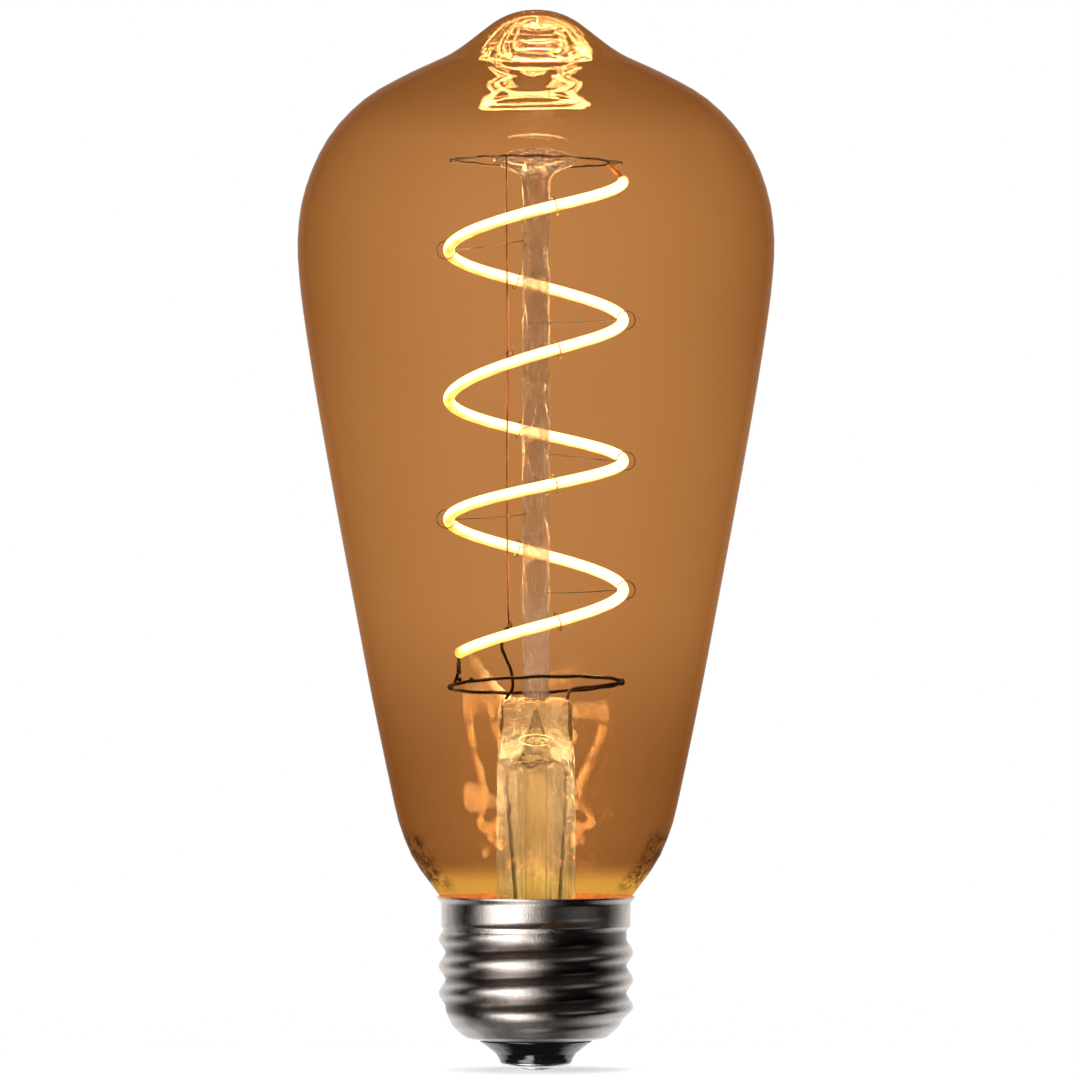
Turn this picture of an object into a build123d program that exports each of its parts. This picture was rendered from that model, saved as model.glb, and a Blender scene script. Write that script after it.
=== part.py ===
"""A connected filament lamp: a tinted pear-shaped bulb on a medium Edison screw cap.

Frame: millimetres, +Z up along the lamp's axis, origin on the axis at the face of the centre contact.
"""

import os
from math import atan2, cos, radians, sin

from build123d import *

os.makedirs("parts", exist_ok=True)

# ---------------------------------------------------------------- driving sizes, mm
BULB_R = 32.0  # widest radius of the glass
BULB_WIDE_Z = 111.4  # height of the widest place
BULB_TOP_Z = 142.3  # tip of the glass
TIP_R = 10.2  # round of the tip
TIP_ARC = 40.0  # degrees of it before the crown sweeps out
GLASS_WALL = 0.9
NECK_R = 11.3  # outside of the neck, inside the cap
NECK_TOP_Z = 19.0
NECK_BOTTOM_Z = 16.0
WALL_STATIONS = 40  # places where the inner wall is set out from the skin

CREST_R = 13.05  # medium Edison screw, outside of the thread
ROOT_R = 12.15  # medium Edison screw, bottom of the thread
THREAD_PITCH = 3.629
THREAD_START_Z = 7.6
THREAD_TURNS = 3.0
THREAD_START_ANGLE = -90.0
THREAD_ROUND_R = 1.25  # radius of the rolled ridge
SHEET = 0.3  # thickness of the cap's metal
SKIRT_R = 12.75
SKIRT_Z = 19.3
RIM_Z = 23.3
RIM_R = 13.4

ROD_R = 1.85
ROD_BOTTOM_Z = 49.0
BUTTON_Z = 121.9
BUTTON_R = 5.8
PRESS_BOTTOM_Z = 41.6
PRESS_TOP_Z = 50.0
PRESS_WIDTH = 10.0
PRESS_DEPTH = 5.2
STEM_R = 5.2
EXHAUST_R = 2.1
EXHAUST_BORE_R = 1.45
EXHAUST_TIP_Z = 14.0

COIL_R = 11.7  # filament centre line
FILAMENT_R = 0.8
FILAMENT_TOP_Z = 119.3
# Heights of the filament's centre line at each quarter turn, from its top end down.
QUARTER_Z = [119.3, 115.0, 110.0, 105.6, 100.6, 95.8, 89.9, 85.5, 81.7, 78.1, 73.9, 69.4, 64.4, 59.5]
COIL_END_TURN = 1231.0  # degrees from the top end to the lower end
COIL_END_Z = 56.0

RING_R = 11.5
RING_WIRE = 0.4
LOWER_RING_Z = 51.7
TOP_RING_Z = 121.9
TOP_RING_DEPTH = 5.2  # its bows run along the rim of the button, which holds them
LEAD_X = 4.1  # the leads' distance from the axis, in the press

BOARD_Z = 8.6
BOARD_R = 10.6
BOARD_T = 1.0
BOARD_TOP = BOARD_Z + BOARD_T


# ---------------------------------------------------------------- helpers
def keep(piece, name):
    """Labels a finished piece and writes its file."""
    piece.part.label = name
    export_step(piece.part, f"parts/{name}.step")
    return piece.part


def wire(points, diameter, bend):
    """A round wire along straight runs joined by arcs; bend is one radius, or one for each corner."""
    with BuildPart() as piece:
        with BuildLine() as route:
            if len(points) > 2:
                FilletPolyline(*points, radius=bend)
            else:
                Line(*points)
        path = route.wire()
        with BuildSketch(Plane(origin=path @ 0, z_dir=path % 0)):
            Circle(diameter / 2)
        sweep(path=path)
    return piece


def polar(radius, angle, z):
    """A point from its distance to the axis, its angle from +X in degrees, and its height."""
    return (radius * cos(radians(angle)), radius * sin(radians(angle)), z)


def block(corner, size):
    """A plain box from its lowest corner."""
    with BuildPart() as piece:
        with Locations(corner):
            Box(*size, align=(Align.MIN, Align.MIN, Align.MIN))
    return piece


# ---------------------------------------------------------------- glass envelope
def bulb_outline():
    """The bulb's outer line, from the tip on the axis down to the end of the neck."""
    dome = JernArc(start=(0, BULB_TOP_Z), tangent=(1, 0), radius=TIP_R, arc_size=-TIP_ARC)
    crown = Spline(
        dome @ 1, (11.2, 136.5), (17.0, 133.75), (23.1, 130.2), (28.05, 124.8), (BULB_R, BULB_WIDE_Z),
        tangents=[dome % 1, (0, -1)],
    )
    cone = Spline(
        crown @ 1, (31.0, 100.0), (29.4, 89.9), (24.5, 63.1), (19.3, 37.0), (16.4, 28.2),
        tangents=[(0, -1), (-0.58, -0.815)],
    )
    Spline(cone @ 1, (12.75, 23.2), (NECK_R, NECK_TOP_Z), tangents=[cone % 1, (0, -1)])
    Line((NECK_R, NECK_TOP_Z), (NECK_R, NECK_BOTTOM_Z))


with BuildLine() as bulb_line:
    bulb_outline()
skin = bulb_line.wire()


def inside_skin(along):
    """The point one wall thickness inside the skin, that far along the skin from the tip."""
    inward = skin.tangent_at(along, PositionMode.LENGTH).rotate(Axis.Z, -90)
    return skin.position_at(along, PositionMode.LENGTH) + inward * GLASS_WALL


with BuildPart() as glass_envelope:
    with BuildSketch(Plane.XZ):
        with BuildLine():
            bulb_outline()
            tip = Line((0, BULB_TOP_Z), (0, BULB_TOP_Z - GLASS_WALL))
            dome = JernArc(start=tip @ 1, tangent=(1, 0), radius=TIP_R - GLASS_WALL, arc_size=-TIP_ARC)
            first = TIP_R * radians(TIP_ARC)
            step = (skin.length - (NECK_TOP_Z - NECK_BOTTOM_Z) - first) / WALL_STATIONS
            side = Spline(
                dome @ 1, *[inside_skin(first + i * step) for i in range(1, WALL_STATIONS)],
                (NECK_R - GLASS_WALL, NECK_TOP_Z),
                tangents=[dome % 1, (0, -1)],
            )
            Polyline(side @ 1, (NECK_R - GLASS_WALL, NECK_BOTTOM_Z), (NECK_R, NECK_BOTTOM_Z))
        make_face()
    revolve(axis=Axis.Z)
keep(glass_envelope, "glass_envelope")

with BuildPart() as bulb_solid:
    with BuildSketch(Plane.XZ):
        with BuildLine():
            bulb_outline()
            Polyline((NECK_R, NECK_BOTTOM_Z), (0, NECK_BOTTOM_Z), (0, BULB_TOP_Z))
        make_face()
    revolve(axis=Axis.Z)

# ---------------------------------------------------------------- leads through the press
# Each side is one current path of three wires welded end to end: a thick nickel lead above the
# press, a sealing wire through the glass, and a copper wire down to the driver.
SEAL_TOP_Z = 49.2
SEAL_BOTTOM_Z = 39.9
SEAL_WIRE = 0.42
LEAD_WIRE = 0.45
COPPER_WIRE = 0.5
WELD_R = 0.4
WELD_GAP = 0.2  # between the ends of the two wires inside the bead

seal_left = wire([(-LEAD_X, 0, SEAL_TOP_Z), (-LEAD_X, 0, SEAL_BOTTOM_Z)], SEAL_WIRE, 0)
keep(seal_left, "seal_wire_left")
seal_right = wire([(LEAD_X, 0, SEAL_TOP_Z), (LEAD_X, 0, SEAL_BOTTOM_Z)], SEAL_WIRE, 0)
keep(seal_right, "seal_wire_right")

copper_left = wire(
    [(-LEAD_X, 0, SEAL_BOTTOM_Z - WELD_GAP), (-3.4, -1.2, 33.0), (-2.5, -2.2, 24.0), (-2.6, -3.0, BOARD_TOP)],
    COPPER_WIRE, 4.0,
)
keep(copper_left, "copper_lead_left")
copper_right = wire(
    [(LEAD_X, 0, SEAL_BOTTOM_Z - WELD_GAP), (3.7, -1.0, 33.0), (2.9, -2.2, 24.0), (2.9, -3.0, BOARD_TOP)],
    COPPER_WIRE, 4.0,
)
keep(copper_right, "copper_lead_right")

with BuildPart() as lead_welds:
    with Locations(*[(x, 0, SEAL_BOTTOM_Z - WELD_GAP / 2) for x in (-LEAD_X, LEAD_X)]):
        Sphere(WELD_R)
for lead in (seal_left, seal_right, copper_left, copper_right):
    lead_welds.part = lead_welds.part - lead.part
keep(lead_welds, "lead_welds")

# ---------------------------------------------------------------- stem: flare, tube and press
STEM_WALL = 0.9
FLARE_TOP_Z = 22.0
BLOW_HOLE_R = 0.75
BORE_CONE_TOP_Z = 48.4

with BuildPart() as stem:
    with BuildSketch(Plane.XZ):
        with BuildLine():
            tube = Line((STEM_R, PRESS_BOTTOM_Z + 1), (STEM_R + 0.15, FLARE_TOP_Z))
            flare = Spline(tube @ 1, (6.6, 18.8), (NECK_R - GLASS_WALL, 16.9), tangents=[tube % 1, (1, -0.25)])
            Polyline(flare @ 1, (NECK_R - GLASS_WALL, NECK_BOTTOM_Z), (9.6, NECK_BOTTOM_Z))
            inner = Spline(
                (9.6, NECK_BOTTOM_Z), (6.0, 17.9), (STEM_R + 0.15 - STEM_WALL, FLARE_TOP_Z),
                tangents=[(-1, 0.25), (0, 1)],
            )
            Polyline(inner @ 1, (STEM_R - STEM_WALL, PRESS_BOTTOM_Z - 0.8))
            Polyline((STEM_R - STEM_WALL, PRESS_BOTTOM_Z - 0.8), (3.2, PRESS_BOTTOM_Z), (0, PRESS_BOTTOM_Z + 0.2))
            Polyline((0, PRESS_BOTTOM_Z + 0.2), (0, PRESS_BOTTOM_Z + 1), tube @ 0)
        make_face()
    revolve(axis=Axis.Z)
    with BuildSketch(Plane.XY.offset(PRESS_BOTTOM_Z + 1)):
        Circle(STEM_R)
    with BuildSketch(Plane.XY.offset(PRESS_BOTTOM_Z + 3.4)):
        RectangleRounded(PRESS_WIDTH, PRESS_DEPTH, PRESS_DEPTH / 2 - 0.2)
    loft()
    with BuildSketch(Plane.XY.offset(PRESS_BOTTOM_Z + 3.4)):
        RectangleRounded(PRESS_WIDTH, PRESS_DEPTH, PRESS_DEPTH / 2 - 0.2)
    extrude(amount=PRESS_TOP_Z - PRESS_BOTTOM_Z - 3.4)
    fillet(stem.faces().sort_by(Axis.Z)[-1].edges(), radius=1.5)
    with BuildSketch(Plane.XZ) as exhaust_seat:
        with BuildLine():
            Polyline(
                (0, PRESS_BOTTOM_Z - 1), (EXHAUST_R, PRESS_BOTTOM_Z - 1), (EXHAUST_R, 43.7), (EXHAUST_BORE_R, 43.7),
                (0, BORE_CONE_TOP_Z), (0, PRESS_BOTTOM_Z - 1),
            )
        make_face()
    revolve(axis=Axis.Z, mode=Mode.SUBTRACT)
    with Locations(Plane(origin=(0, 0, 45.0), z_dir=(0, 1, 0))):
        Cylinder(BLOW_HOLE_R, PRESS_DEPTH, align=(Align.CENTER, Align.CENTER, Align.MIN), mode=Mode.SUBTRACT)
    with Locations((0, 0, ROD_BOTTOM_Z)):
        Cylinder(ROD_R, 5, align=(Align.CENTER, Align.CENTER, Align.MIN), mode=Mode.SUBTRACT)

with BuildPart() as exhaust_tube:
    with BuildSketch(Plane.XZ):
        with BuildLine():
            side = Line((EXHAUST_R, 43.7), (EXHAUST_R, EXHAUST_TIP_Z + EXHAUST_R))
            RadiusArc(side @ 1, (0, EXHAUST_TIP_Z), EXHAUST_R)
            bore_floor = Line((0, EXHAUST_TIP_Z), (0, EXHAUST_TIP_Z + EXHAUST_R - EXHAUST_BORE_R))
            RadiusArc((EXHAUST_BORE_R, EXHAUST_TIP_Z + EXHAUST_R), bore_floor @ 1, EXHAUST_BORE_R)
            Polyline((EXHAUST_BORE_R, EXHAUST_TIP_Z + EXHAUST_R), (EXHAUST_BORE_R, 43.7), (EXHAUST_R, 43.7))
        make_face()
    revolve(axis=Axis.Z)
keep(exhaust_tube, "exhaust_tube")


# ---------------------------------------------------------------- filament centre line
def coil_height(turned):
    """Height of the filament's centre line, a given number of degrees round from its top end."""
    step = min(int(turned // 90), len(QUARTER_Z) - 2)
    start = QUARTER_Z[step]
    share = turned / 90 - step
    if turned > 90 * (len(QUARTER_Z) - 1):
        last = 90 * (len(QUARTER_Z) - 1)
        return QUARTER_Z[-1] + (COIL_END_Z - QUARTER_Z[-1]) * (turned - last) / (COIL_END_TURN - last)
    return start + (QUARTER_Z[step + 1] - start) * share


COIL_STEPS = 28
coil_turns = [COIL_END_TURN * i / COIL_STEPS for i in range(COIL_STEPS + 1)]
coil_points = [polar(COIL_R, -turned, coil_height(turned)) for turned in coil_turns]
with BuildLine() as coil_line:
    Spline(*coil_points)
coil = coil_line.wire()
coil_start = Plane(origin=coil @ 0, x_dir=(1, 0, 0), z_dir=coil % 0)

STRIP_WIDTH = 0.9
STRIP_T = 0.16
CHIP = (0.6, 0.36, 0.18)
CHIP_COUNT = 64
CHIP_GAP = 0.01  # between a chip and the faces round it, which are curved
SLOT_T = 2 * CHIP[2] + STRIP_T + 4 * CHIP_GAP

with BuildPart() as filament_coating:
    with BuildSketch(coil_start):
        Circle(FILAMENT_R)
        Rectangle(SLOT_T, STRIP_WIDTH, mode=Mode.SUBTRACT)
    sweep(path=coil, is_frenet=True)
keep(filament_coating, "filament_coating")

with BuildPart() as filament_strip:
    with BuildSketch(coil_start):
        Rectangle(STRIP_T, STRIP_WIDTH)
    sweep(path=coil, is_frenet=True)
keep(filament_strip, "filament_strip")

# The chips sit in pairs, one on each face of the strip, whose faces look along the coil's radius.
with BuildPart() as led_chips:
    for i in range(CHIP_COUNT):
        seat = coil.location_at((i + 0.5) / CHIP_COUNT, frame_method=FrameMethod.FRENET)
        for side in (-1, 1):
            with Locations(seat * Location((side * ((STRIP_T + CHIP[2]) / 2 + CHIP_GAP), 0, 0))):
                Box(CHIP[2], CHIP[1], CHIP[0])
keep(led_chips, "led_chips")

TAB_WIDTH = 0.7
TAB_T = 0.2
filament_tab_top = wire([polar(COIL_R, 1.2, 119.5), (10.9, -0.6, 120.4), (9.8, -1.7, 121.6)], TAB_WIDTH / 2, 0.6)

# ---------------------------------------------------------------- wire rings
KNOT_R = 0.36


def ring(height, depth, front_rise, right_rise):
    """A hand-bent ring: a front and a back bow that meet in a small knot at each side."""
    left = Vector(-RING_R, 0, height - right_rise)
    right = Vector(RING_R, 0, height + right_rise)
    with BuildPart() as piece:
        for side in (-1, 1):
            middle = (0, side * depth, height - side * front_rise)
            into_knot = Vector(0, side * KNOT_R / 2, 0)
            with BuildLine() as bow:
                ThreePointArc(left + into_knot, middle, right + into_knot)
            path = bow.wire()
            with BuildSketch(Plane(origin=path @ 0, z_dir=path % 0)):
                Circle(RING_WIRE / 2)
            sweep(path=path)
        with Locations(left, right):
            Sphere(KNOT_R)
    return piece


lower_ring = ring(LOWER_RING_Z, RING_R, 1.2, 0.35)
top_ring = ring(TOP_RING_Z, TOP_RING_DEPTH, 0.6, -0.2)

POST_X = -10.6
lower_post = wire([(POST_X, -3.2, 51.9), (POST_X, -4.6, 52.6), (-10.3, -5.4, 55.4)], RING_WIRE, 0.8)

with BuildPart() as filament_tab_bottom:
    with Locations(Location((-10.3, -5.5, 54.0), (0, 0, 25))):
        Box(TAB_T * 2, TAB_WIDTH, 1.6)

lead_right = wire(
    [(LEAD_X, 0, SEAL_TOP_Z), (LEAD_X, 0.1, 50.2), (5.2, 1.6, 51.0), (8.2, 3.2, 51.4), (11.3, 1.6, 51.9)],
    LEAD_WIRE, 0.7,
)
lead_left = wire(
    [(-LEAD_X, 0, SEAL_TOP_Z), (-3.9, 0, 50.4), (-3.1, -0.5, 51.6), (-3.4, -1.0, 53.4), (-4.8, -2.2, 56.6),
     (-3.6, -1.6, 59.4)],
    LEAD_WIRE, 0.6,
)
return_wire = wire(
    [(-3.6, -1.5, 60.0), (-3.85, -0.9, 66.0), (-3.8, -0.8, 96.0), (-3.85, -1.3, 104.0), (-3.95, -4.7, 122.3)],
    0.25, 3.0,
)

# ---------------------------------------------------------------- glass rod with its button
with BuildPart() as rod:
    with BuildSketch(Plane.XZ):
        with BuildLine():
            shaft = Polyline((0, ROD_BOTTOM_Z), (ROD_R, ROD_BOTTOM_Z), (ROD_R, BUTTON_Z - 2.6))
            Spline(
                shaft @ 1, (3.4, BUTTON_Z - 1.0), (BUTTON_R, BUTTON_Z), (3.6, BUTTON_Z + 1.3), (0, BUTTON_Z + 1.8),
                tangents=[(0, 1), (-1, 0)],
            )
            Line((0, BUTTON_Z + 1.8), (0, ROD_BOTTOM_Z))
        make_face()
    revolve(axis=Axis.Z)

# ---------------------------------------------------------------- support hooks
# Each hook is a fine wire set in the rod, which ends in an eye round the filament.
HOOK_WIRE = 0.14
HOOK_SET = 1.0  # how deep it is set in the rod
EYE_R = 1.25
EYE_OFFSET = 0.35  # the eye reaches past the filament by this much
HOOK_TURNS = [78, 180, 257, 360, 436, 619, 720, 798, 900, 978, 1080, 1156]
HOOK_RISE = [0.8, 1.4, 0.7, -0.3, 1.0, 0.9, 1.1, 0.6, 0.7, 0.8, -0.4, -0.9]


def hook(turned, rise):
    """One hook, for the place on the filament that many degrees round from its top end."""
    height = coil_height(turned)
    slope = atan2(coil_height(turned - 5) - coil_height(turned + 5), radians(10) * COIL_R)
    outward = Vector(*polar(1, -turned, 0))
    along = Vector(*polar(1, -turned - 90, 0)) * cos(slope) + Vector(0, 0, -sin(slope))
    eye_centre = Vector(0, 0, height) + outward * (COIL_R + EYE_OFFSET)
    inner = Vector(0, 0, height) + outward * (COIL_R + EYE_OFFSET - EYE_R)
    root = Vector(0, 0, height + rise) + outward * (ROD_R - HOOK_SET)
    with BuildPart() as piece:
        with BuildLine() as arm:
            Line(root, inner)
        with BuildSketch(Plane(origin=root, z_dir=arm.wire() % 0)):
            Circle(HOOK_WIRE / 2)
        sweep(path=arm.wire())
        with Locations(Plane(origin=eye_centre, x_dir=outward, z_dir=along)):
            Torus(EYE_R, HOOK_WIRE / 2)
    return piece


for number, (turned, rise) in enumerate(zip(HOOK_TURNS, HOOK_RISE), start=1):
    made = hook(turned, rise)
    rod.part = rod.part - made.part
    keep(made, f"support_hook_{number:02d}")

# ---------------------------------------------------------------- fit the wires and the glass together
rod.part = rod.part - top_ring.part
keep(rod, "glass_rod")

for lead in (seal_left, seal_right, lead_left, lead_right, lead_welds):
    stem.part = stem.part - lead.part
keep(stem, "stem_glass")

lead_left.part = lead_left.part - seal_left.part
lead_right.part = lead_right.part - seal_right.part - lower_ring.part
lower_post.part = lower_post.part - lower_ring.part
filament_tab_bottom.part = filament_tab_bottom.part - lower_post.part - filament_coating.part
return_wire.part = return_wire.part - top_ring.part - lead_left.part
filament_tab_top.part = filament_tab_top.part - top_ring.part
keep(lower_ring, "lower_ring")
keep(top_ring, "top_ring")
keep(lower_post, "filament_post")
keep(filament_tab_bottom, "filament_tab_bottom")
keep(filament_tab_top, "filament_tab_top")
keep(lead_right, "nickel_lead_right")
keep(lead_left, "nickel_lead_left")
keep(return_wire, "return_wire")

# ---------------------------------------------------------------- screw cap
BOWL_HOLE_R = 7.0
BOWL_Z = 3.95


def cap_outline(inward):
    """The cap's line without its thread, from the bottom hole up to the rim, that far inside the metal."""
    bowl = Spline(
        (BOWL_HOLE_R, BOWL_Z + inward), (9.3 - inward / 2, 4.55 + inward), (11.0 - inward, 6.0 + inward / 2),
        (ROOT_R - inward, 8.0),
        tangents=[(1, 0.1), (0.1, 1)],
    )
    Polyline(
        bowl @ 1, (ROOT_R - inward, SKIRT_Z - 0.5), (SKIRT_R - inward, SKIRT_Z), (SKIRT_R - inward, RIM_Z - 0.8),
        (RIM_R - inward, RIM_Z),
    )


def ridge(radius):
    """The thread's rolled ridge as a round rope along a right-hand helix, with rounded ends."""
    turn = Plane(origin=(0, 0, THREAD_START_Z), x_dir=polar(1, THREAD_START_ANGLE, 0), z_dir=(0, 0, 1))
    with BuildPart() as piece:
        with BuildLine(turn) as rope:
            Helix(THREAD_PITCH, THREAD_PITCH * THREAD_TURNS, CREST_R - THREAD_ROUND_R)
        path = rope.wire()
        with BuildSketch(Plane(origin=path @ 0, z_dir=path % 0)):
            Circle(radius)
        sweep(path=path, is_frenet=True)
        with Locations(path @ 0, path @ 1):
            Sphere(radius)
    return piece


def cap_body(inward):
    """The cap as a full solid, that far inside the metal."""
    with BuildPart() as piece:
        with BuildSketch(Plane.XZ):
            with BuildLine():
                cap_outline(inward)
                Polyline(
                    (RIM_R - inward, RIM_Z), (0, RIM_Z), (0, BOWL_Z + inward), (BOWL_HOLE_R, BOWL_Z + inward),
                )
            make_face()
        revolve(axis=Axis.Z)
        add(ridge(THREAD_ROUND_R - inward).part)
    return piece


shell_outside = cap_body(0)
shell_inside = cap_body(SHEET)
with BuildPart() as screw_shell:
    add(shell_outside.part)
    add(shell_inside.part, mode=Mode.SUBTRACT)
    with Locations((0, 0, BOWL_Z)):
        Cylinder(BOWL_HOLE_R, 2, mode=Mode.SUBTRACT)
keep(screw_shell, "screw_shell")

with BuildPart() as cap_cement:
    with BuildSketch(Plane.XZ):
        with BuildLine():
            Polyline(
                (10.6, SKIRT_Z + 0.3), (SKIRT_R - SHEET, SKIRT_Z + 0.3), (SKIRT_R - SHEET, RIM_Z - 0.8),
                (RIM_R - SHEET, RIM_Z), (10.6, RIM_Z), (10.6, SKIRT_Z + 0.3),
            )
        make_face()
    revolve(axis=Axis.Z)
    add(bulb_solid.part, mode=Mode.SUBTRACT)
keep(cap_cement, "cap_cement")

# ---------------------------------------------------------------- insulator and contact
INSULATOR_LOW_Z = 0.95
INSULATOR_TOP_Z = 5.8
PLATE_R = 4.75
EYELET_R = 1.2
EYELET_BORE_R = 0.85
EYELET_TOP_Z = 3.4
SOLDER_R = 2.4
CONTACT_FACE_R = 1.6

with BuildPart() as base_insulator:
    with BuildSketch(Plane.XZ):
        with BuildLine():
            foot = Line((EYELET_R, INSULATOR_LOW_Z), (4.9, INSULATOR_LOW_Z))
            cone = Spline(foot @ 1, (5.15, 1.7), (6.3, 2.9), (7.7, BOWL_Z), tangents=[(0, 1), (0.8, 0.6)])
            Polyline(
                cone @ 1, (BOWL_HOLE_R, BOWL_Z), (BOWL_HOLE_R, BOWL_Z + SHEET), (8.0, BOWL_Z + SHEET + 0.25),
                (8.0, INSULATOR_TOP_Z), (EYELET_R, INSULATOR_TOP_Z), foot @ 0,
            )
        make_face()
    revolve(axis=Axis.Z)
    add(screw_shell.part, mode=Mode.SUBTRACT)
keep(base_insulator, "base_insulator")

with BuildPart() as contact_plate:
    with BuildSketch(Plane.XZ):
        with BuildLine():
            top = Line((EYELET_R, INSULATOR_LOW_Z), (PLATE_R, INSULATOR_LOW_Z))
            face = Spline(top @ 1, (4.0, 0.5), (SOLDER_R, 0.3), tangents=[(-0.3, -1), (-1, -0.05)])
            Polyline(
                face @ 1, (EYELET_BORE_R, 0.3), (EYELET_BORE_R, EYELET_TOP_Z), (EYELET_R, EYELET_TOP_Z), top @ 0,
            )
        make_face()
    revolve(axis=Axis.Z)
keep(contact_plate, "contact_plate")

# ---------------------------------------------------------------- driver board and its wires
live_wire = wire([(0, 0, 0.9), (0, 0, 6.4), (2.4, 0, 7.4), (2.4, 0, BOARD_Z)], COPPER_WIRE, [0.7, 0.35])
keep(live_wire, "live_wire")

with BuildPart() as contact_solder:
    with BuildSketch(Plane.XZ):
        with BuildLine():
            face = Line((0, 0), (CONTACT_FACE_R, 0))
            edge = ThreePointArc(face @ 1, (2.15, 0.1), (SOLDER_R, 0.3))
            Polyline(edge @ 1, (EYELET_BORE_R, 0.3), (EYELET_BORE_R, 1.6), (0, 1.6), (0, 0))
        make_face()
    revolve(axis=Axis.Z)
    add(live_wire.part, mode=Mode.SUBTRACT)
keep(contact_solder, "contact_solder")

LINER_R = 11.3
LINER_WALL = 0.4
LINER_TOP_Z = 15.6
with BuildPart() as cap_liner:
    with BuildSketch(Plane.XY.offset(BOARD_Z - 1.0)):
        Circle(LINER_R)
        Circle(LINER_R - LINER_WALL, mode=Mode.SUBTRACT)
    extrude(amount=LINER_TOP_Z - BOARD_Z + 1.0)
    with BuildSketch(Plane.XY.offset(BOARD_Z - 1.0)):
        Circle(LINER_R - LINER_WALL)
        Circle(BOARD_R - 0.8, mode=Mode.SUBTRACT)
    extrude(amount=1.0)
    with Locations((LINER_R, 0, BOARD_TOP + 1.0)):
        Cylinder(0.5, 3, rotation=(0, 90, 0), mode=Mode.SUBTRACT)

neutral_wire = wire(
    [(8.8, 0, BOARD_TOP), (8.8, 0, BOARD_TOP + 1.0), (LINER_R + 0.27, 0, BOARD_TOP + 1.0), (LINER_R + 0.27, 0, 14.6)],
    COPPER_WIRE, [0.4, 0.4],
)
keep(cap_liner, "cap_liner")
keep(neutral_wire, "neutral_wire")

with BuildPart() as driver_board:
    with BuildSketch(Plane.XY.offset(BOARD_Z)):
        Circle(BOARD_R)
        with Locations((0, BOARD_R), (0, -BOARD_R)):
            Rectangle(3.0, 1.6, mode=Mode.SUBTRACT)
    extrude(amount=BOARD_T)
    fillet(driver_board.edges().filter_by(Axis.Z), radius=0.3)
keep(driver_board, "driver_board")

# ---------------------------------------------------------------- parts on the driver board
CAN_R = 3.1
CAN_PLACE = (-5.6, 2.5)
CAN_TOP_Z = 15.4
BUNG_T = 0.9

with BuildPart() as capacitor_bung:
    with BuildSketch(Plane.XY.offset(BOARD_TOP)):
        with Locations(CAN_PLACE):
            Circle(CAN_R - 0.35)
    extrude(amount=BUNG_T)
keep(capacitor_bung, "capacitor_bung")

with BuildPart() as capacitor_can:
    with BuildSketch(Plane.XY.offset(BOARD_TOP)):
        with Locations(CAN_PLACE):
            Circle(CAN_R)
            Circle(CAN_R - 0.35, mode=Mode.SUBTRACT)
    extrude(amount=BUNG_T)
    with BuildSketch(Plane.XY.offset(BOARD_TOP + BUNG_T)):
        with Locations(CAN_PLACE):
            Circle(CAN_R)
    extrude(amount=CAN_TOP_Z - BOARD_TOP - BUNG_T)
    fillet(capacitor_can.faces().sort_by(Axis.Z)[-1].edges(), radius=0.4)
    with BuildSketch(Plane.XY.offset(CAN_TOP_Z)):
        with Locations(CAN_PLACE):
            Rectangle(4.4, 0.3)
            Rectangle(0.3, 4.4)
    extrude(amount=-0.15, mode=Mode.SUBTRACT)
keep(capacitor_can, "capacitor_can")

CHOKE_PLACE = (5.2, 4.2)
CHOKE_R = 2.5
CHOKE_H = 4.8
CHOKE_CORE_R = 1.1
CHOKE_FLANGE = 0.8
COIL_ROWS = 8

with BuildPart() as choke_core:
    with BuildSketch(Plane.XY.offset(BOARD_TOP)):
        with Locations(CHOKE_PLACE):
            Circle(CHOKE_R)
    extrude(amount=CHOKE_FLANGE)
    with BuildSketch(Plane.XY.offset(BOARD_TOP + CHOKE_FLANGE)):
        with Locations(CHOKE_PLACE):
            Circle(CHOKE_CORE_R)
    extrude(amount=CHOKE_H - 2 * CHOKE_FLANGE)
    with BuildSketch(Plane.XY.offset(BOARD_TOP + CHOKE_H - CHOKE_FLANGE)):
        with Locations(CHOKE_PLACE):
            Circle(CHOKE_R)
    extrude(amount=CHOKE_FLANGE)
keep(choke_core, "choke_core")

with BuildPart() as choke_winding:
    row = (CHOKE_H - 2 * CHOKE_FLANGE) / COIL_ROWS
    with BuildSketch(Plane.XZ):
        with BuildLine():
            Line((CHOKE_CORE_R, 0), (1.9, 0))
            for i in range(COIL_ROWS):
                ThreePointArc((1.9, i * row), (1.9 + row / 2, (i + 0.5) * row), (1.9, (i + 1) * row))
            Polyline((1.9, COIL_ROWS * row), (CHOKE_CORE_R, COIL_ROWS * row), (CHOKE_CORE_R, 0))
        make_face()
    revolve(axis=Axis.Z)
choke_winding.part = Pos(*CHOKE_PLACE, BOARD_TOP + CHOKE_FLANGE) * choke_winding.part
keep(choke_winding, "choke_winding")

FUSE_R = 1.1
with BuildPart() as fuse_resistor:
    with BuildSketch(Plane(origin=(7.6, -5.2, BOARD_TOP + FUSE_R), z_dir=(0, 1, 0))):
        Circle(FUSE_R)
    extrude(amount=4.2)
    fillet(fuse_resistor.edges(), radius=0.4)
keep(fuse_resistor, "fuse_resistor")

film_capacitor = block((-2.0, 5.9, BOARD_TOP), (4.6, 2.4, 4.4))
fillet_edges = film_capacitor.part.edges().filter_by(Axis.Z)
film_capacitor.part = film_capacitor.part.fillet(0.4, fillet_edges)
keep(film_capacitor, "film_capacitor")


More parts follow.
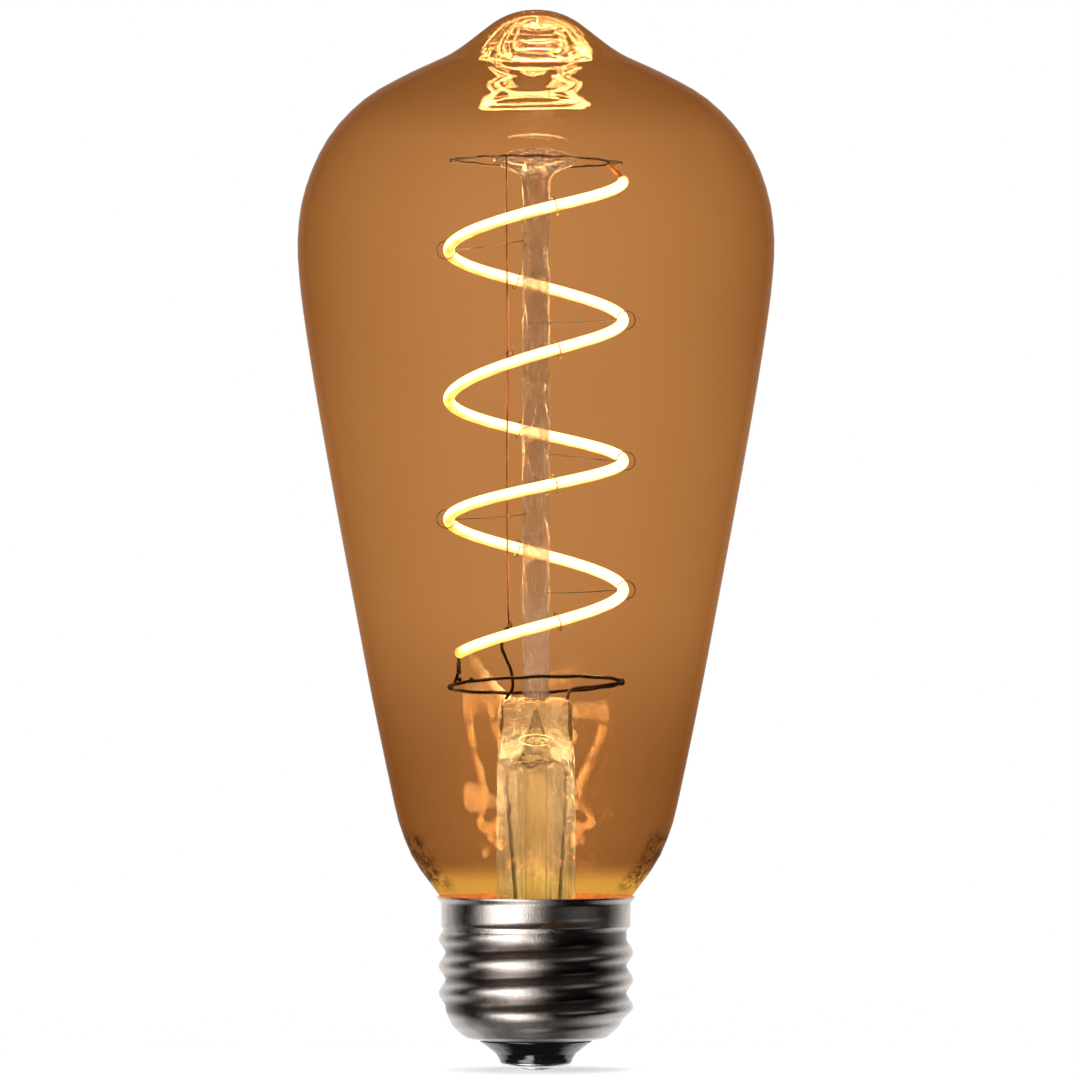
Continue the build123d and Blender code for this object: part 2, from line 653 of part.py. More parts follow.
def chip(corner, size, pins, pin_pitch, up):
    """A moulded chip body with square pins along its two long sides; up is 1 or -1 from the board."""
    low = corner[2] if up > 0 else corner[2] - size[2]
    with BuildPart() as piece:
        with Locations((corner[0], corner[1], low)):
            Box(*size, align=(Align.MIN, Align.MIN, Align.MIN))
        chamfer(piece.faces().sort_by(Axis.Z)[-1 if up > 0 else 0].edges(), length=0.2)
        middle = corner[1] + size[1] / 2
        pin_z = corner[2] + up * 0.15
        for side_x in (corner[0] - 0.35, corner[0] + size[0] + 0.35):
            with Locations((side_x, middle, pin_z)):
                with GridLocations(0, pin_pitch, 1, pins):
                    Box(0.7, 0.4, 0.3)
    return piece


driver_chip = chip((-8.2, -5.7, BOARD_TOP), (2.9, 4.4, 1.4), 4, 1.1, 1)
keep(driver_chip, "driver_chip")
bridge_rectifier = chip((-4.8, -2.3, BOARD_Z), (3.4, 4.6, 1.9), 2, 2.5, -1)
keep(bridge_rectifier, "bridge_rectifier")
freewheel_diode = block((-1.5, 3.6, BOARD_Z - 1.8), (3.4, 2.2, 1.8))
keep(freewheel_diode, "freewheel_diode")

with BuildPart() as sense_resistors:
    with Locations((4.6, -0.6, BOARD_Z - 0.3)):
        with GridLocations(0, 1.8, 1, 3):
            Box(2.0, 1.1, 0.6)
keep(sense_resistors, "sense_resistors")

with BuildPart() as ceramic_capacitors:
    with Locations((-3.2, -4.2, BOARD_Z - 0.4)):
        with GridLocations(2.4, 0, 3, 1):
            Box(1.2, 2.0, 0.8)
keep(ceramic_capacitors, "ceramic_capacitors")

# ---------------------------------------------------------------- radio module, upright on the board
RADIO_Y = -6.4
RADIO_T = 0.6
RADIO_W = 8.4
RADIO_H = 6.0

radio_board = block((-RADIO_W / 2, RADIO_Y, BOARD_TOP), (RADIO_W, RADIO_T, RADIO_H))
keep(radio_board, "radio_board")
radio_shield = block((-RADIO_W / 2 + 0.5, RADIO_Y - 1.2, BOARD_TOP + 0.5), (5.4, 1.2, 4.6))
radio_shield.part = radio_shield.part.fillet(0.25, radio_shield.part.faces().sort_by(Axis.Y)[0].edges())
radio_shield.part = radio_shield.part - block(
    (-RADIO_W / 2 + 0.65, RADIO_Y - 1.05, BOARD_TOP + 0.65), (5.1, 1.05, 4.3)
).part
keep(radio_shield, "radio_shield")
radio_chip = block((-RADIO_W / 2 + 1.6, RADIO_Y - 0.8, BOARD_TOP + 1.3), (3.0, 0.8, 3.0))
keep(radio_chip, "radio_chip")
radio_antenna = block((2.0, RADIO_Y - 0.9, BOARD_TOP + 2.6), (1.6, 0.9, 3.2))
keep(radio_antenna, "radio_antenna")
with BuildPart() as radio_pins:
    with Locations((0, RADIO_Y + RADIO_T + 0.2, BOARD_TOP + 0.5)):
        with GridLocations(1.4, 0, 5, 1):
            Box(0.4, 0.4, 1.0)
keep(radio_pins, "radio_pins")
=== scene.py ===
"""Looks of a connected filament lamp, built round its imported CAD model.

An amber pear-shaped bulb stands on a medium screw cap. Inside it a lit LED filament winds round a glass rod,
held by fine hooks. The cap hides the driver and the radio. Everything is in metres, +Z up the lamp's axis.
"""

from __future__ import annotations

import logging
import math
from abc import ABC, abstractmethod
from dataclasses import dataclass, field
from enum import Enum
from typing import Iterable, Mapping, Sequence, Union

import bpy
import numpy as np
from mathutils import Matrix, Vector

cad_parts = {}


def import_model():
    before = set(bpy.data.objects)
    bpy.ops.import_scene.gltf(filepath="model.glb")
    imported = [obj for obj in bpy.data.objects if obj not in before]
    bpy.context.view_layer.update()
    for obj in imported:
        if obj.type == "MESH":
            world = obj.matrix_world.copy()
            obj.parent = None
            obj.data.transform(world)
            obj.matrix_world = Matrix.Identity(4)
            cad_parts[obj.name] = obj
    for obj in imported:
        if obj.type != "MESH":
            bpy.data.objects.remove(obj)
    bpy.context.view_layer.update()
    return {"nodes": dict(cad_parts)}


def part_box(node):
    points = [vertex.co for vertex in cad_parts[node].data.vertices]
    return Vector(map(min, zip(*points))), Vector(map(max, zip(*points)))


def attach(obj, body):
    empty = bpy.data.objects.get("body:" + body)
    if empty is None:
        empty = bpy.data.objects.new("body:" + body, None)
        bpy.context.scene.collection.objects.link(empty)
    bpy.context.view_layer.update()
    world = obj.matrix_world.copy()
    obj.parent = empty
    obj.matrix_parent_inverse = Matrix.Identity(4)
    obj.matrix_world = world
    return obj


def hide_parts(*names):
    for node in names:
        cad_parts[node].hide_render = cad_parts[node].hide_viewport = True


LOG = logging.getLogger("lamp")
MM = 0.001
ON_AXIS = 1e-7
BODY = "root"

Point = tuple[float, float, float]
Colour = tuple[float, float, float]
Operand = Union["Link", float, int]


# ---------------------------------------------------------------- node graphs
class Link:
    """An output socket that takes Python's arithmetic; each operation on it adds a Math node."""

    def __init__(self, graph: Graph, socket: bpy.types.NodeSocket) -> None:
        """Keeps the socket and the graph that it belongs to."""
        self.graph = graph
        self.socket = socket

    def _join(self, operation: str, *values: Operand) -> Link:
        """Adds one Math node.

        Args:
            operation: the Math node's operation.
            values: its inputs, in order.

        Returns:
            The node's result.
        """
        return self.graph.node("ShaderNodeMath", {"operation": operation}, dict(enumerate(values)))

    def __add__(self, other: Operand) -> Link:
        """self + other."""
        return self._join("ADD", self, other)

    def __radd__(self, other: Operand) -> Link:
        """other + self."""
        return self._join("ADD", other, self)

    def __sub__(self, other: Operand) -> Link:
        """self - other."""
        return self._join("SUBTRACT", self, other)

    def __rsub__(self, other: Operand) -> Link:
        """other - self."""
        return self._join("SUBTRACT", other, self)

    def __mul__(self, other: Operand) -> Link:
        """self * other."""
        return self._join("MULTIPLY", self, other)

    def __rmul__(self, other: Operand) -> Link:
        """other * self."""
        return self._join("MULTIPLY", other, self)

    def __truediv__(self, other: Operand) -> Link:
        """self / other."""
        return self._join("DIVIDE", self, other)

    def __pow__(self, other: Operand) -> Link:
        """self to the power other."""
        return self._join("POWER", self, other)

    def __abs__(self) -> Link:
        """The size of self."""
        return self._join("ABSOLUTE", self)

    def does(self, operation: str, *others: Operand) -> Link:
        """Any other Math operation, with self as its first input."""
        return self._join(operation, self, *others)

    def step(self, low: float, high: float) -> Link:
        """A soft step.

        Args:
            low: where the step leaves 0.
            high: where it reaches 1; it may be below low, for a falling step.

        Returns:
            The step's height, from 0 to 1.
        """
        return self.graph.node(
            "ShaderNodeMapRange",
            {"interpolation_type": "SMOOTHSTEP"},
            {"Value": self, "From Min": low, "From Max": high, "To Min": 0.0, "To Max": 1.0},
        )


class Graph:
    """A node tree, with one method that adds a node of any type."""

    def __init__(self, tree: bpy.types.NodeTree) -> None:
        """Empties the tree and keeps it."""
        tree.nodes.clear()
        self.tree = tree

    def node(
        self,
        kind: str,
        settings: Mapping[str, object] | None = None,
        inputs: Mapping[str | int, object] | None = None,
        output: str | int = 0,
    ) -> Link:
        """Adds a node.

        Args:
            kind: the node's type.
            settings: its properties.
            inputs: a value or a Link for each socket, by name or number.
            output: the output socket to return.

        Returns:
            That output.
        """
        made = self.tree.nodes.new(kind)
        for name, value in (settings or {}).items():
            setattr(made, name, value)
        for name, value in (inputs or {}).items():
            self.feed(made.inputs[name], value)
        return Link(self, made.outputs[output]) if made.outputs else Link(self, None)

    def feed(self, socket: bpy.types.NodeSocket, value: object) -> None:
        """Links or sets one input socket."""
        if isinstance(value, Link):
            self.tree.links.new(value.socket, socket)
        elif isinstance(value, (tuple, list)) and len(value) == 3 and len(socket.default_value) == 4:
            socket.default_value = (*value, 1.0)
        else:
            socket.default_value = value

    def blend(self, first: object, second: object, share: Operand) -> Link:
        """A colour between two colours; share is how much of the second."""
        return self.node("ShaderNodeMix", {"data_type": "RGBA"}, {0: share, 6: first, 7: second}, 2)

    def vector(self, operation: str, *values: object, output: str | int = 0) -> Link:
        """A Vector Math node."""
        return self.node("ShaderNodeVectorMath", {"operation": operation}, dict(enumerate(values)), output)

    def place(self) -> Link:
        """The place on the piece, in metres."""
        return self.node("ShaderNodeTexCoord", output="Object")

    def axes(self, vector: Link) -> tuple[Link, Link, Link]:
        """The three numbers of a vector."""
        split = self.tree.nodes.new("ShaderNodeSeparateXYZ")
        self.feed(split.inputs[0], vector)
        return tuple(Link(self, socket) for socket in split.outputs)

    def scaled(self, vector: Link, by: Link) -> Link:
        """The vector made longer or shorter."""
        made = self.vector("SCALE", vector)
        self.feed(made.socket.node.inputs["Scale"], by)
        return made

    def noise(self, vector: Link, scale: float, detail: float = 4.0, rough: float = 0.55) -> Link:
        """Cloudy noise from 0 to 1; scale is in cells per metre."""
        return self.node(
            "ShaderNodeTexNoise", None,
            {"Vector": vector, "Scale": scale, "Detail": detail, "Roughness": rough},
        )

    def stretched(self, vector: Link, by: Point) -> Link:
        """The vector with each of its numbers multiplied."""
        return self.vector("MULTIPLY", vector, by)

    def bump(self, height: Link, depth: float) -> Link:
        """A normal from a height between 0 and 1, with its depth in metres."""
        return self.node("ShaderNodeBump", None, {"Strength": 1.0, "Distance": depth, "Height": height})

    def mixed(self, share: Operand, first: Link, second: Link) -> Link:
        """Two shaders mixed; share is how much of the second."""
        return self.node("ShaderNodeMixShader", None, {0: share, 1: first, 2: second})

    def shader(self, kind: str, colour: object, **values: object) -> Link:
        """A plain shader of one colour, such as Diffuse or Emission."""
        name = "ShaderNodeEmission" if kind == "Emission" else "ShaderNodeBsdf" + kind
        return self.node(name, None, {"Color": colour, **values})

    def facing(self) -> Link:
        """0 where the surface is seen squarely, 1 at its very edge."""
        return self.node("ShaderNodeLayerWeight", None, {"Blend": 0.5}, "Facing")

    def backfacing(self) -> Link:
        """1 where a face is met from behind."""
        return self.node("ShaderNodeNewGeometry", output="Backfacing")

    def path(self, what: str) -> Link:
        """A fact about the ray, such as its depth or its length."""
        return self.node("ShaderNodeLightPath", output=what)

    def attribute(self, name: str) -> Link:
        """A number that the piece carries at each point."""
        return self.node("ShaderNodeAttribute", {"attribute_name": name}, output="Fac")


class Material(Graph):
    """A material's node graph."""

    def __init__(self, name: str) -> None:
        """Makes the material, with an empty graph."""
        self.made = bpy.data.materials.new(name)
        self.made.use_nodes = True
        super().__init__(self.made.node_tree)

    def principled(self, **values: object) -> Link:
        """A Principled shader; Base_Color=... sets its socket Base Color."""
        inputs = {name.replace("_", " "): value for name, value in values.items()}
        return self.node("ShaderNodeBsdfPrincipled", None, inputs)

    def finish(self, surface: Link) -> bpy.types.Material:
        """Joins the surface to the output and returns the material."""
        self.node("ShaderNodeOutputMaterial", None, {"Surface": surface})
        return self.made


def from_axis(x: Link, y: Link) -> Link:
    """How far a place is from the lamp's axis."""
    return (x * x + y * y).does("SQRT")


# ---------------------------------------------------------------- finishes
@dataclass(frozen=True)
class Finish(ABC):
    """What a piece is made of, seen up close."""

    name: str

    @abstractmethod
    def build(self) -> bpy.types.Material:
        """Makes the material."""

    @property
    def label(self) -> str:
        """The material's own name, which no material of the CAD model has."""
        return self.name + "_finish"

    def material(self) -> bpy.types.Material:
        """The material, made once."""
        return bpy.data.materials.get(self.label) or self.build()


@dataclass(frozen=True)
class AmberGlass(Finish):
    """One wall surface of the blown bulb; heights in metres.

    Only the skin is tinted: deeper towards the edge and the foot, paler at the lip above the cap, with dark
    patches low on the wall near its edges that are painted reflections of the cap and the leads. Each surface
    mirrors on one side of its faces, at the crown and the foot, where the walls close in on the filament. Both
    sides shine at the very edge.
    """

    mirrors_inside: bool = False
    tinted: bool = False
    clear: Colour = (0.99, 0.985, 0.98)
    face: Colour = (0.722, 0.470, 0.258)
    slant: Colour = (0.476, 0.272, 0.122)
    lip: Colour = (0.88, 0.61, 0.235)
    # painted reflection: the dark of the cap and the leads mirrored low on the wall
    dark_reflection: Colour = (0.22, 0.14, 0.08)
    sheen: Colour = (1.0, 0.95, 0.86)
    at_crown: float = 0.17
    at_foot: float = 0.026
    at_edge: float = 0.4
    mirrored_again: float = 0.2
    crown: tuple[float, float] = (125.6 * MM, 131 * MM)
    foot: tuple[float, float] = (57 * MM, 42 * MM)
    above_cap: tuple[float, float] = (25 * MM, 28 * MM)
    lip_height: tuple[float, float] = (28.0 * MM, 24.8 * MM)
    deepens: tuple[float, float] = (64 * MM, 38 * MM)
    edge_pales: tuple[float, float] = (104 * MM, 84 * MM)
    # heights of the painted reflections of the cap and the leads
    reflection_top: tuple[float, float] = (33 * MM, 30.5 * MM)
    reflection_low: tuple[float, float] = (23.6 * MM, 25.5 * MM)

    def tint(self, g: Material, place: Link, z: Link, slant: Link) -> Link:
        """The colour that light takes from the glass, with painted reflections of the cap and the leads low on
        the wall.

        Args:
            g: the graph.
            place: the place on the glass.
            z: its height.
            slant: how much the surface slants away.

        Returns:
            The colour.
        """
        cloud = g.noise(g.stretched(place, (1.0, 1.0, 0.3)), 30.0, 3.0) - 0.5
        edge = slant * (0.98 - 0.24 * z.step(*self.edge_pales))
        share = (edge + z.step(*self.deepens) * 0.44 + cloud * 0.3).does("MAXIMUM", 0.0)
        tint = g.blend(self.face, self.slant, share.does("MINIMUM", 1.15))
        # painted reflection: dark patches low on the wall near its edges, where the cap and the leads are
        # mirrored
        reflection_patches = g.noise(g.stretched(place, (1.0, 1.0, 1.7)), 420.0, 5.0, 0.7).step(0.47, 0.56)
        corner = z.step(*self.reflection_top) * z.step(*self.reflection_low) * slant.step(0.46, 0.62)
        tint = g.blend(tint, self.lip, z.step(*self.lip_height) * (0.9 + cloud * 0.6))
        return g.blend(tint, self.dark_reflection, reflection_patches * corner * 0.9)

    def build(self) -> bpy.types.Material:
        """Makes the material."""
        g = Material(self.label)
        place = g.place()
        _, _, z = g.axes(place)
        slant = g.facing()
        through = g.shader("Transparent", self.tint(g, place, z, slant) if self.tinted else self.clear)
        gloss = g.shader("Anisotropic", self.sheen, Roughness=0.0)
        side = g.backfacing() if self.mirrors_inside else 1.0 - g.backfacing()
        again = g.path("Glossy Depth").does("MINIMUM", 1.0) * self.mirrored_again
        mirror = z.step(*self.crown) * self.at_crown + z.step(*self.foot) * self.at_foot
        mirror = (mirror + again) * z.step(*self.above_cap)
        return g.finish(g.mixed(side * mirror + self.at_edge * slant.does("POWER", 16.0), through, gloss))


@dataclass(frozen=True)
class BlownGlass(Finish):
    """Solid clear glass with a trace of colour and a bloom on it that catches the filament's light.

    The bloom is heavier on the far side and along the drawing streaks. In curls, which crowd into folds round
    one height, extra bloom is painted light that stands for the glass's refraction there. On the rod a spiral
    ribbon of bloom is a painted refraction of the filament that winds round it. The stem has a core, its exhaust
    tube, that lets light straight through with almost no bloom. Sizes in metres.
    """

    tint: Colour = (0.97, 0.93, 0.84)
    bloom: Colour = (0.9, 0.8, 0.6)
    near_bloom: float = 0.06
    far_bloom: float = 0.3
    ripple: float = 0.00004
    ripple_scale: float = 260.0
    stretch: Point = (1.0, 1.0, 0.3)
    fold_height: float = -1.0
    fold_glint: float = 0.85
    painted_ribbon_pitch: float = 0.0
    straight: float = 0.0
    core: float = 0.0
    core_top: tuple[float, float] = (43 * MM, 40.5 * MM)
    clear_above: float = 0.0
    most_bloom: float = 0.9

    def share(self, g: Material, place: Link, x: Link, y: Link, z: Link) -> Link:
        """How much of the surface is bloom, from 0 to 1.

        Args:
            g: the graph.
            place: the place on the glass.
            x: its distance to the right.
            y: its distance to the back.
            z: its height.

        Returns:
            The share.
        """
        streak = g.noise(g.stretched(place, (1.0, 1.0, 0.10)), 900.0, 3.0).step(0.35, 0.68)
        wave = g.noise(g.stretched(place, (1.0, 1.0, 1.8)), 420.0, 3.0, 0.6)
        curl = g.noise(g.stretched(place, (1.0, 1.0, 1.4)), 300.0, 1.0, 0.4)
        curls = abs(curl - 0.5).step(0.026, 0.008)
        fold = abs(z - self.fold_height + (wave - 0.5) * 2.2 * MM).step(1.9 * MM, 1.0 * MM) * curls
        share = self.near_bloom + (self.far_bloom - self.near_bloom) * y.step(-0.6 * MM, 1.2 * MM)
        share = share * (0.45 + streak * 0.9)
        if self.clear_above:
            clear = z.step(self.clear_above + 2.5 * MM, self.clear_above)
            share = share * (0.35 + 0.65 * clear) + curls * 0.10
        # painted light: extra bloom in the folds stands for the light that the wavy glass there refracts
        share = share + fold * self.fold_glint
        # painted refraction: a spiral ribbon of bloom stands for the filament that winds round the rod
        if self.painted_ribbon_pitch:
            turn = z / self.painted_ribbon_pitch + y.does("ARCTAN2", x) * (0.5 / math.pi) + (wave - 0.5) * 0.2
            painted_ribbon = abs(turn.does("FRACT") - 0.5).step(0.075, 0.03) * wave.step(0.40, 0.56)
            share = share + painted_ribbon * 0.30
        return share

    def build(self) -> bpy.types.Material:
        """Makes the material."""
        g = Material(self.label)
        place = g.place()
        x, y, z = g.axes(place)
        ripple = g.noise(g.stretched(place, self.stretch), self.ripple_scale, 0.0)
        glass = g.principled(
            Base_Color=self.tint, Roughness=0.0, IOR=1.47, Transmission_Weight=1.0,
            Normal=g.bump(ripple, self.ripple),
        )
        share = self.share(g, place, x, y, z)
        film = g.mixed(0.5, g.shader("Translucent", self.bloom), g.shader("Diffuse", self.bloom))
        straight: Operand = self.straight
        if self.core:
            inner = from_axis(x, y).step(self.core + 0.4 * MM, self.core + 0.2 * MM) * z.step(*self.core_top)
            share = share * (1.0 - inner * 0.93)
            straight = inner * g.facing().step(0.64, 0.46) * 0.97
        if self.straight or self.core:
            glass = g.mixed(straight, glass, g.shader("Transparent", self.tint))
        return g.finish(g.mixed(share.does("MINIMUM", self.most_bloom), glass, film))


@dataclass(frozen=True)
class LitPhosphor(Finish):
    """Phosphor silicone round the lit strip: white hot, warmer under the strip and at its two ends.

    It is dimmer through solid glass, and brighter in a mirror that is not close to it, so that the faint
    reflections in the bulb show as they do round a real lit filament.
    """

    hot: Colour = (1.0, 0.90, 0.68)
    warm: Colour = (1.0, 0.60, 0.17)
    body: Colour = (0.95, 0.80, 0.42)
    warm_body: Colour = (0.90, 0.62, 0.20)
    strength: float = 5.5
    die_pitch: float = 4.0 * MM
    end: float = 2.2 * MM
    through: float = 0.12
    mirrored: float = 20.0
    mirrored_from: tuple[float, float] = (11 * MM, 15 * MM)
    warm_dims: float = 0.80

    def build(self) -> bpy.types.Material:
        """Makes the material."""
        g = Material(self.label)
        dice = (g.attribute("along") * (2 * math.pi / self.die_pitch)).does("COSINE") * 0.5 + 0.5
        grain = g.noise(g.place(), 2600.0, 3.0)
        shade = g.attribute("under").step(0.25, 0.95)
        warmth = shade * (0.75 + dice * 0.25) + (grain - 0.5) * 0.25 * shade
        warmth = (warmth + g.attribute("to_end").step(self.end, 0.0)).does("MINIMUM", 1.0)
        in_glass = g.path("Transmission Depth").does("MINIMUM", 1.0)
        in_mirror = g.path("Glossy Depth").does("MINIMUM", 1.0)
        in_mirror = in_mirror * g.path("Ray Length").step(*self.mirrored_from)
        level = in_glass * self.through + (1.0 - in_glass) * (1.0 + in_mirror * self.mirrored)
        level = (1.0 - self.warm_dims * warmth) * level
        return g.finish(
            g.principled(
                Base_Color=g.blend(self.body, self.warm_body, warmth), Roughness=0.55 + grain * 0.2,
                Emission_Color=g.scaled(g.blend(self.hot, self.warm, warmth), level),
                Emission_Strength=self.strength, Normal=g.bump(grain, 0.00003),
            )
        )


@dataclass(frozen=True)
class Drawn(Finish):
    """Drawn wire: faint streaks along it, with a heat tint that comes and goes."""

    colour: Colour = (0.45, 0.42, 0.38)
    tint: Colour = (0.25, 0.20, 0.17)
    rough: tuple[float, float] = (0.25, 0.5)
    patch: float = 420.0

    def build(self) -> bpy.types.Material:
        """Makes the material."""
        g = Material(self.label)
        place = g.place()
        patches = g.noise(place, self.patch, 4.0)
        fine = g.noise(place, 7000.0, 2.0)
        shade = patches.step(0.35, 0.68)
        colour = g.blend(self.colour, self.tint, shade)
        rough = self.rough[0] + (self.rough[1] - self.rough[0]) * (shade * 0.6 + fine * 0.4)
        return g.finish(
            g.principled(Base_Color=colour, Metallic=1.0, Roughness=rough, Normal=g.bump(fine, 0.000012))
        )


@dataclass(frozen=True)
class RolledNickel(Finish):
    """Nickel-plated sheet with the fine orange peel of rolling and cloudy stains; the hollows of the thread are
    darkened with painted shade.

    The thread's root and crest are radii in metres, and it runs between the two heights.
    """

    colour: Colour = (0.40, 0.355, 0.325)
    tarnish_and_shade: Colour = (0.055, 0.040, 0.034)
    root: float = 12.15 * MM
    crest: float = 13.05 * MM
    thread_top: tuple[float, float] = (19.2 * MM, 18.4 * MM)
    thread_foot: tuple[float, float] = (6.9 * MM, 8.0 * MM)

    def build(self) -> bpy.types.Material:
        """Makes the material."""
        g = Material(self.label)
        place = g.place()
        x, y, z = g.axes(place)
        # painted shade: the hollows of the thread are darkened where the ridges beside them would hide the
        # reflections
        shaded_hollow = from_axis(x, y).step(self.crest - 0.25 * MM, self.root)
        shaded_hollow = shaded_hollow * z.step(*self.thread_top) * z.step(*self.thread_foot)
        cloud = g.noise(place, 240.0, 5.0)
        peel = g.noise(place, 5200.0, 3.0, 0.65)
        pits = g.noise(place, 15000.0, 2.0)
        drawn = g.noise(g.stretched(place, (1.0, 1.0, 14.0)), 420.0, 3.0)
        # real cloudy stains and drawn streaks, plus the painted shade in the hollows of the thread
        stain_and_shade = shaded_hollow * 0.85 + cloud.step(0.45, 0.8) * 0.35 + drawn.step(0.55, 0.8) * 0.15
        stain_and_shade = stain_and_shade.does("MINIMUM", 1.0)
        height = peel * 0.75 + pits * 0.25
        return g.finish(
            g.principled(
                Base_Color=g.blend(self.colour, self.tarnish_and_shade, stain_and_shade),
                Metallic=1.0,
                Roughness=0.11 + stain_and_shade * 0.10 + pits * 0.10,
                Normal=g.bump(height, 0.00006),
            )
        )


@dataclass(frozen=True)
class BlackGlass(Finish):
    """Opaque black glass moulded round the contact, glossy, with dust at its foot."""

    def build(self) -> bpy.types.Material:
        """Makes the material."""
        g = Material(self.label)
        place = g.place()
        _, _, z = g.axes(place)
        wave = g.noise(place, 380.0, 2.0)
        dust = g.noise(place, 5200.0, 4.0).step(0.56, 0.72) * z.step(2.0 * MM, 1.0 * MM)
        return g.finish(
            g.principled(
                Base_Color=g.blend((0.006, 0.006, 0.008), (0.16, 0.15, 0.14), dust * 0.6),
                Roughness=0.07 + dust * 0.4,
                Specular_IOR_Level=0.6,
                Normal=g.bump(wave, 0.00009),
            )
        )


@dataclass(frozen=True)
class Grained(Finish):
    """A plain solid finish: two close colours in cloudy patches, over a fine grain."""

    colour: Colour = (0.5, 0.5, 0.5)
    second: Colour = (0.4, 0.4, 0.4)
    patch: float = 700.0
    grain: float = 6000.0
    rough: tuple[float, float] = (0.4, 0.6)
    metal: float = 0.0
    depth: float = 0.00002
    stretch: Point = (1.0, 1.0, 1.0)
    coat: float = 0.0

    def build(self) -> bpy.types.Material:
        """Makes the material."""
        g = Material(self.label)
        place = g.stretched(g.place(), self.stretch)
        patches = g.noise(place, self.patch, 4.0)
        grain = g.noise(place, self.grain, 3.0)
        share = (patches.step(0.3, 0.7) * 0.7 + grain * 0.3).does("MINIMUM", 1.0)
        return g.finish(
            g.principled(
                Base_Color=g.blend(self.colour, self.second, share),
                Metallic=self.metal,
                Roughness=self.rough[0] + (self.rough[1] - self.rough[0]) * share,
                Coat_Weight=self.coat,
                Normal=g.bump(grain, self.depth),
            )
        )


@dataclass(frozen=True)
class Wound(Finish):
    """Enamelled wire wound in even rows round an upright core, with painted shade in the grooves between the
    turns.
    """

    colour: Colour = (0.66, 0.25, 0.09)
    # painted shade: the colour in the grooves between the turns of wire
    shaded_groove: Colour = (0.20, 0.07, 0.03)
    row: float = 0.2 * MM

    def build(self) -> bpy.types.Material:
        """Makes the material."""
        g = Material(self.label)
        place = g.place()
        _, _, z = g.axes(place)
        turn = (z * (2 * math.pi / self.row)).does("COSINE") * 0.5 + 0.5
        cloud = g.noise(place, 900.0, 3.0)
        # painted shade between the turns, mixed with random patches of tone
        share = (1.0 - turn) * 0.7 + cloud * 0.3
        return g.finish(
            g.principled(
                Base_Color=g.blend(self.colour, self.shaded_groove, share), Metallic=0.7,
                Roughness=0.2 + 0.2 * share, Coat_Weight=0.6, Normal=g.bump(turn, 0.00006),
            )
        )


@dataclass(frozen=True)
class CircuitBoard(Finish):
    """Solder mask over copper tracks, with bare tinned pads on a grid."""

    mask: Colour = (0.012, 0.10, 0.045)
    over_copper: Colour = (0.03, 0.20, 0.08)
    pad: Colour = (0.72, 0.70, 0.66)
    pitch: float = 1.27 * MM
    upright: bool = False

    def build(self) -> bpy.types.Material:
        """Makes the material."""
        g = Material(self.label)
        place = g.place()
        x, y, z = g.axes(place)
        across, up = (x, z) if self.upright else (x, y)
        bend = (g.noise(place, 160.0, 1.0) - 0.5) * 2.0 * MM
        track = abs(((across + bend) / self.pitch).does("FRACT") - 0.5).step(0.30, 0.24)
        aside, above = ((way / (2 * self.pitch)).does("FRACT") - 0.5 for way in (across, up))
        pad = from_axis(aside, above).step(0.17, 0.14)
        weave = g.noise(place, 4000.0, 2.0)
        colour = g.blend(g.blend(self.mask, self.over_copper, track), self.pad, pad)
        return g.finish(
            g.principled(
                Base_Color=colour, Metallic=pad * 0.9, Roughness=0.32 - track * 0.06 + weave * 0.15,
                Normal=g.bump(track * 0.6 + pad * 0.4 + weave * 0.1, 0.00003),
            )
        )


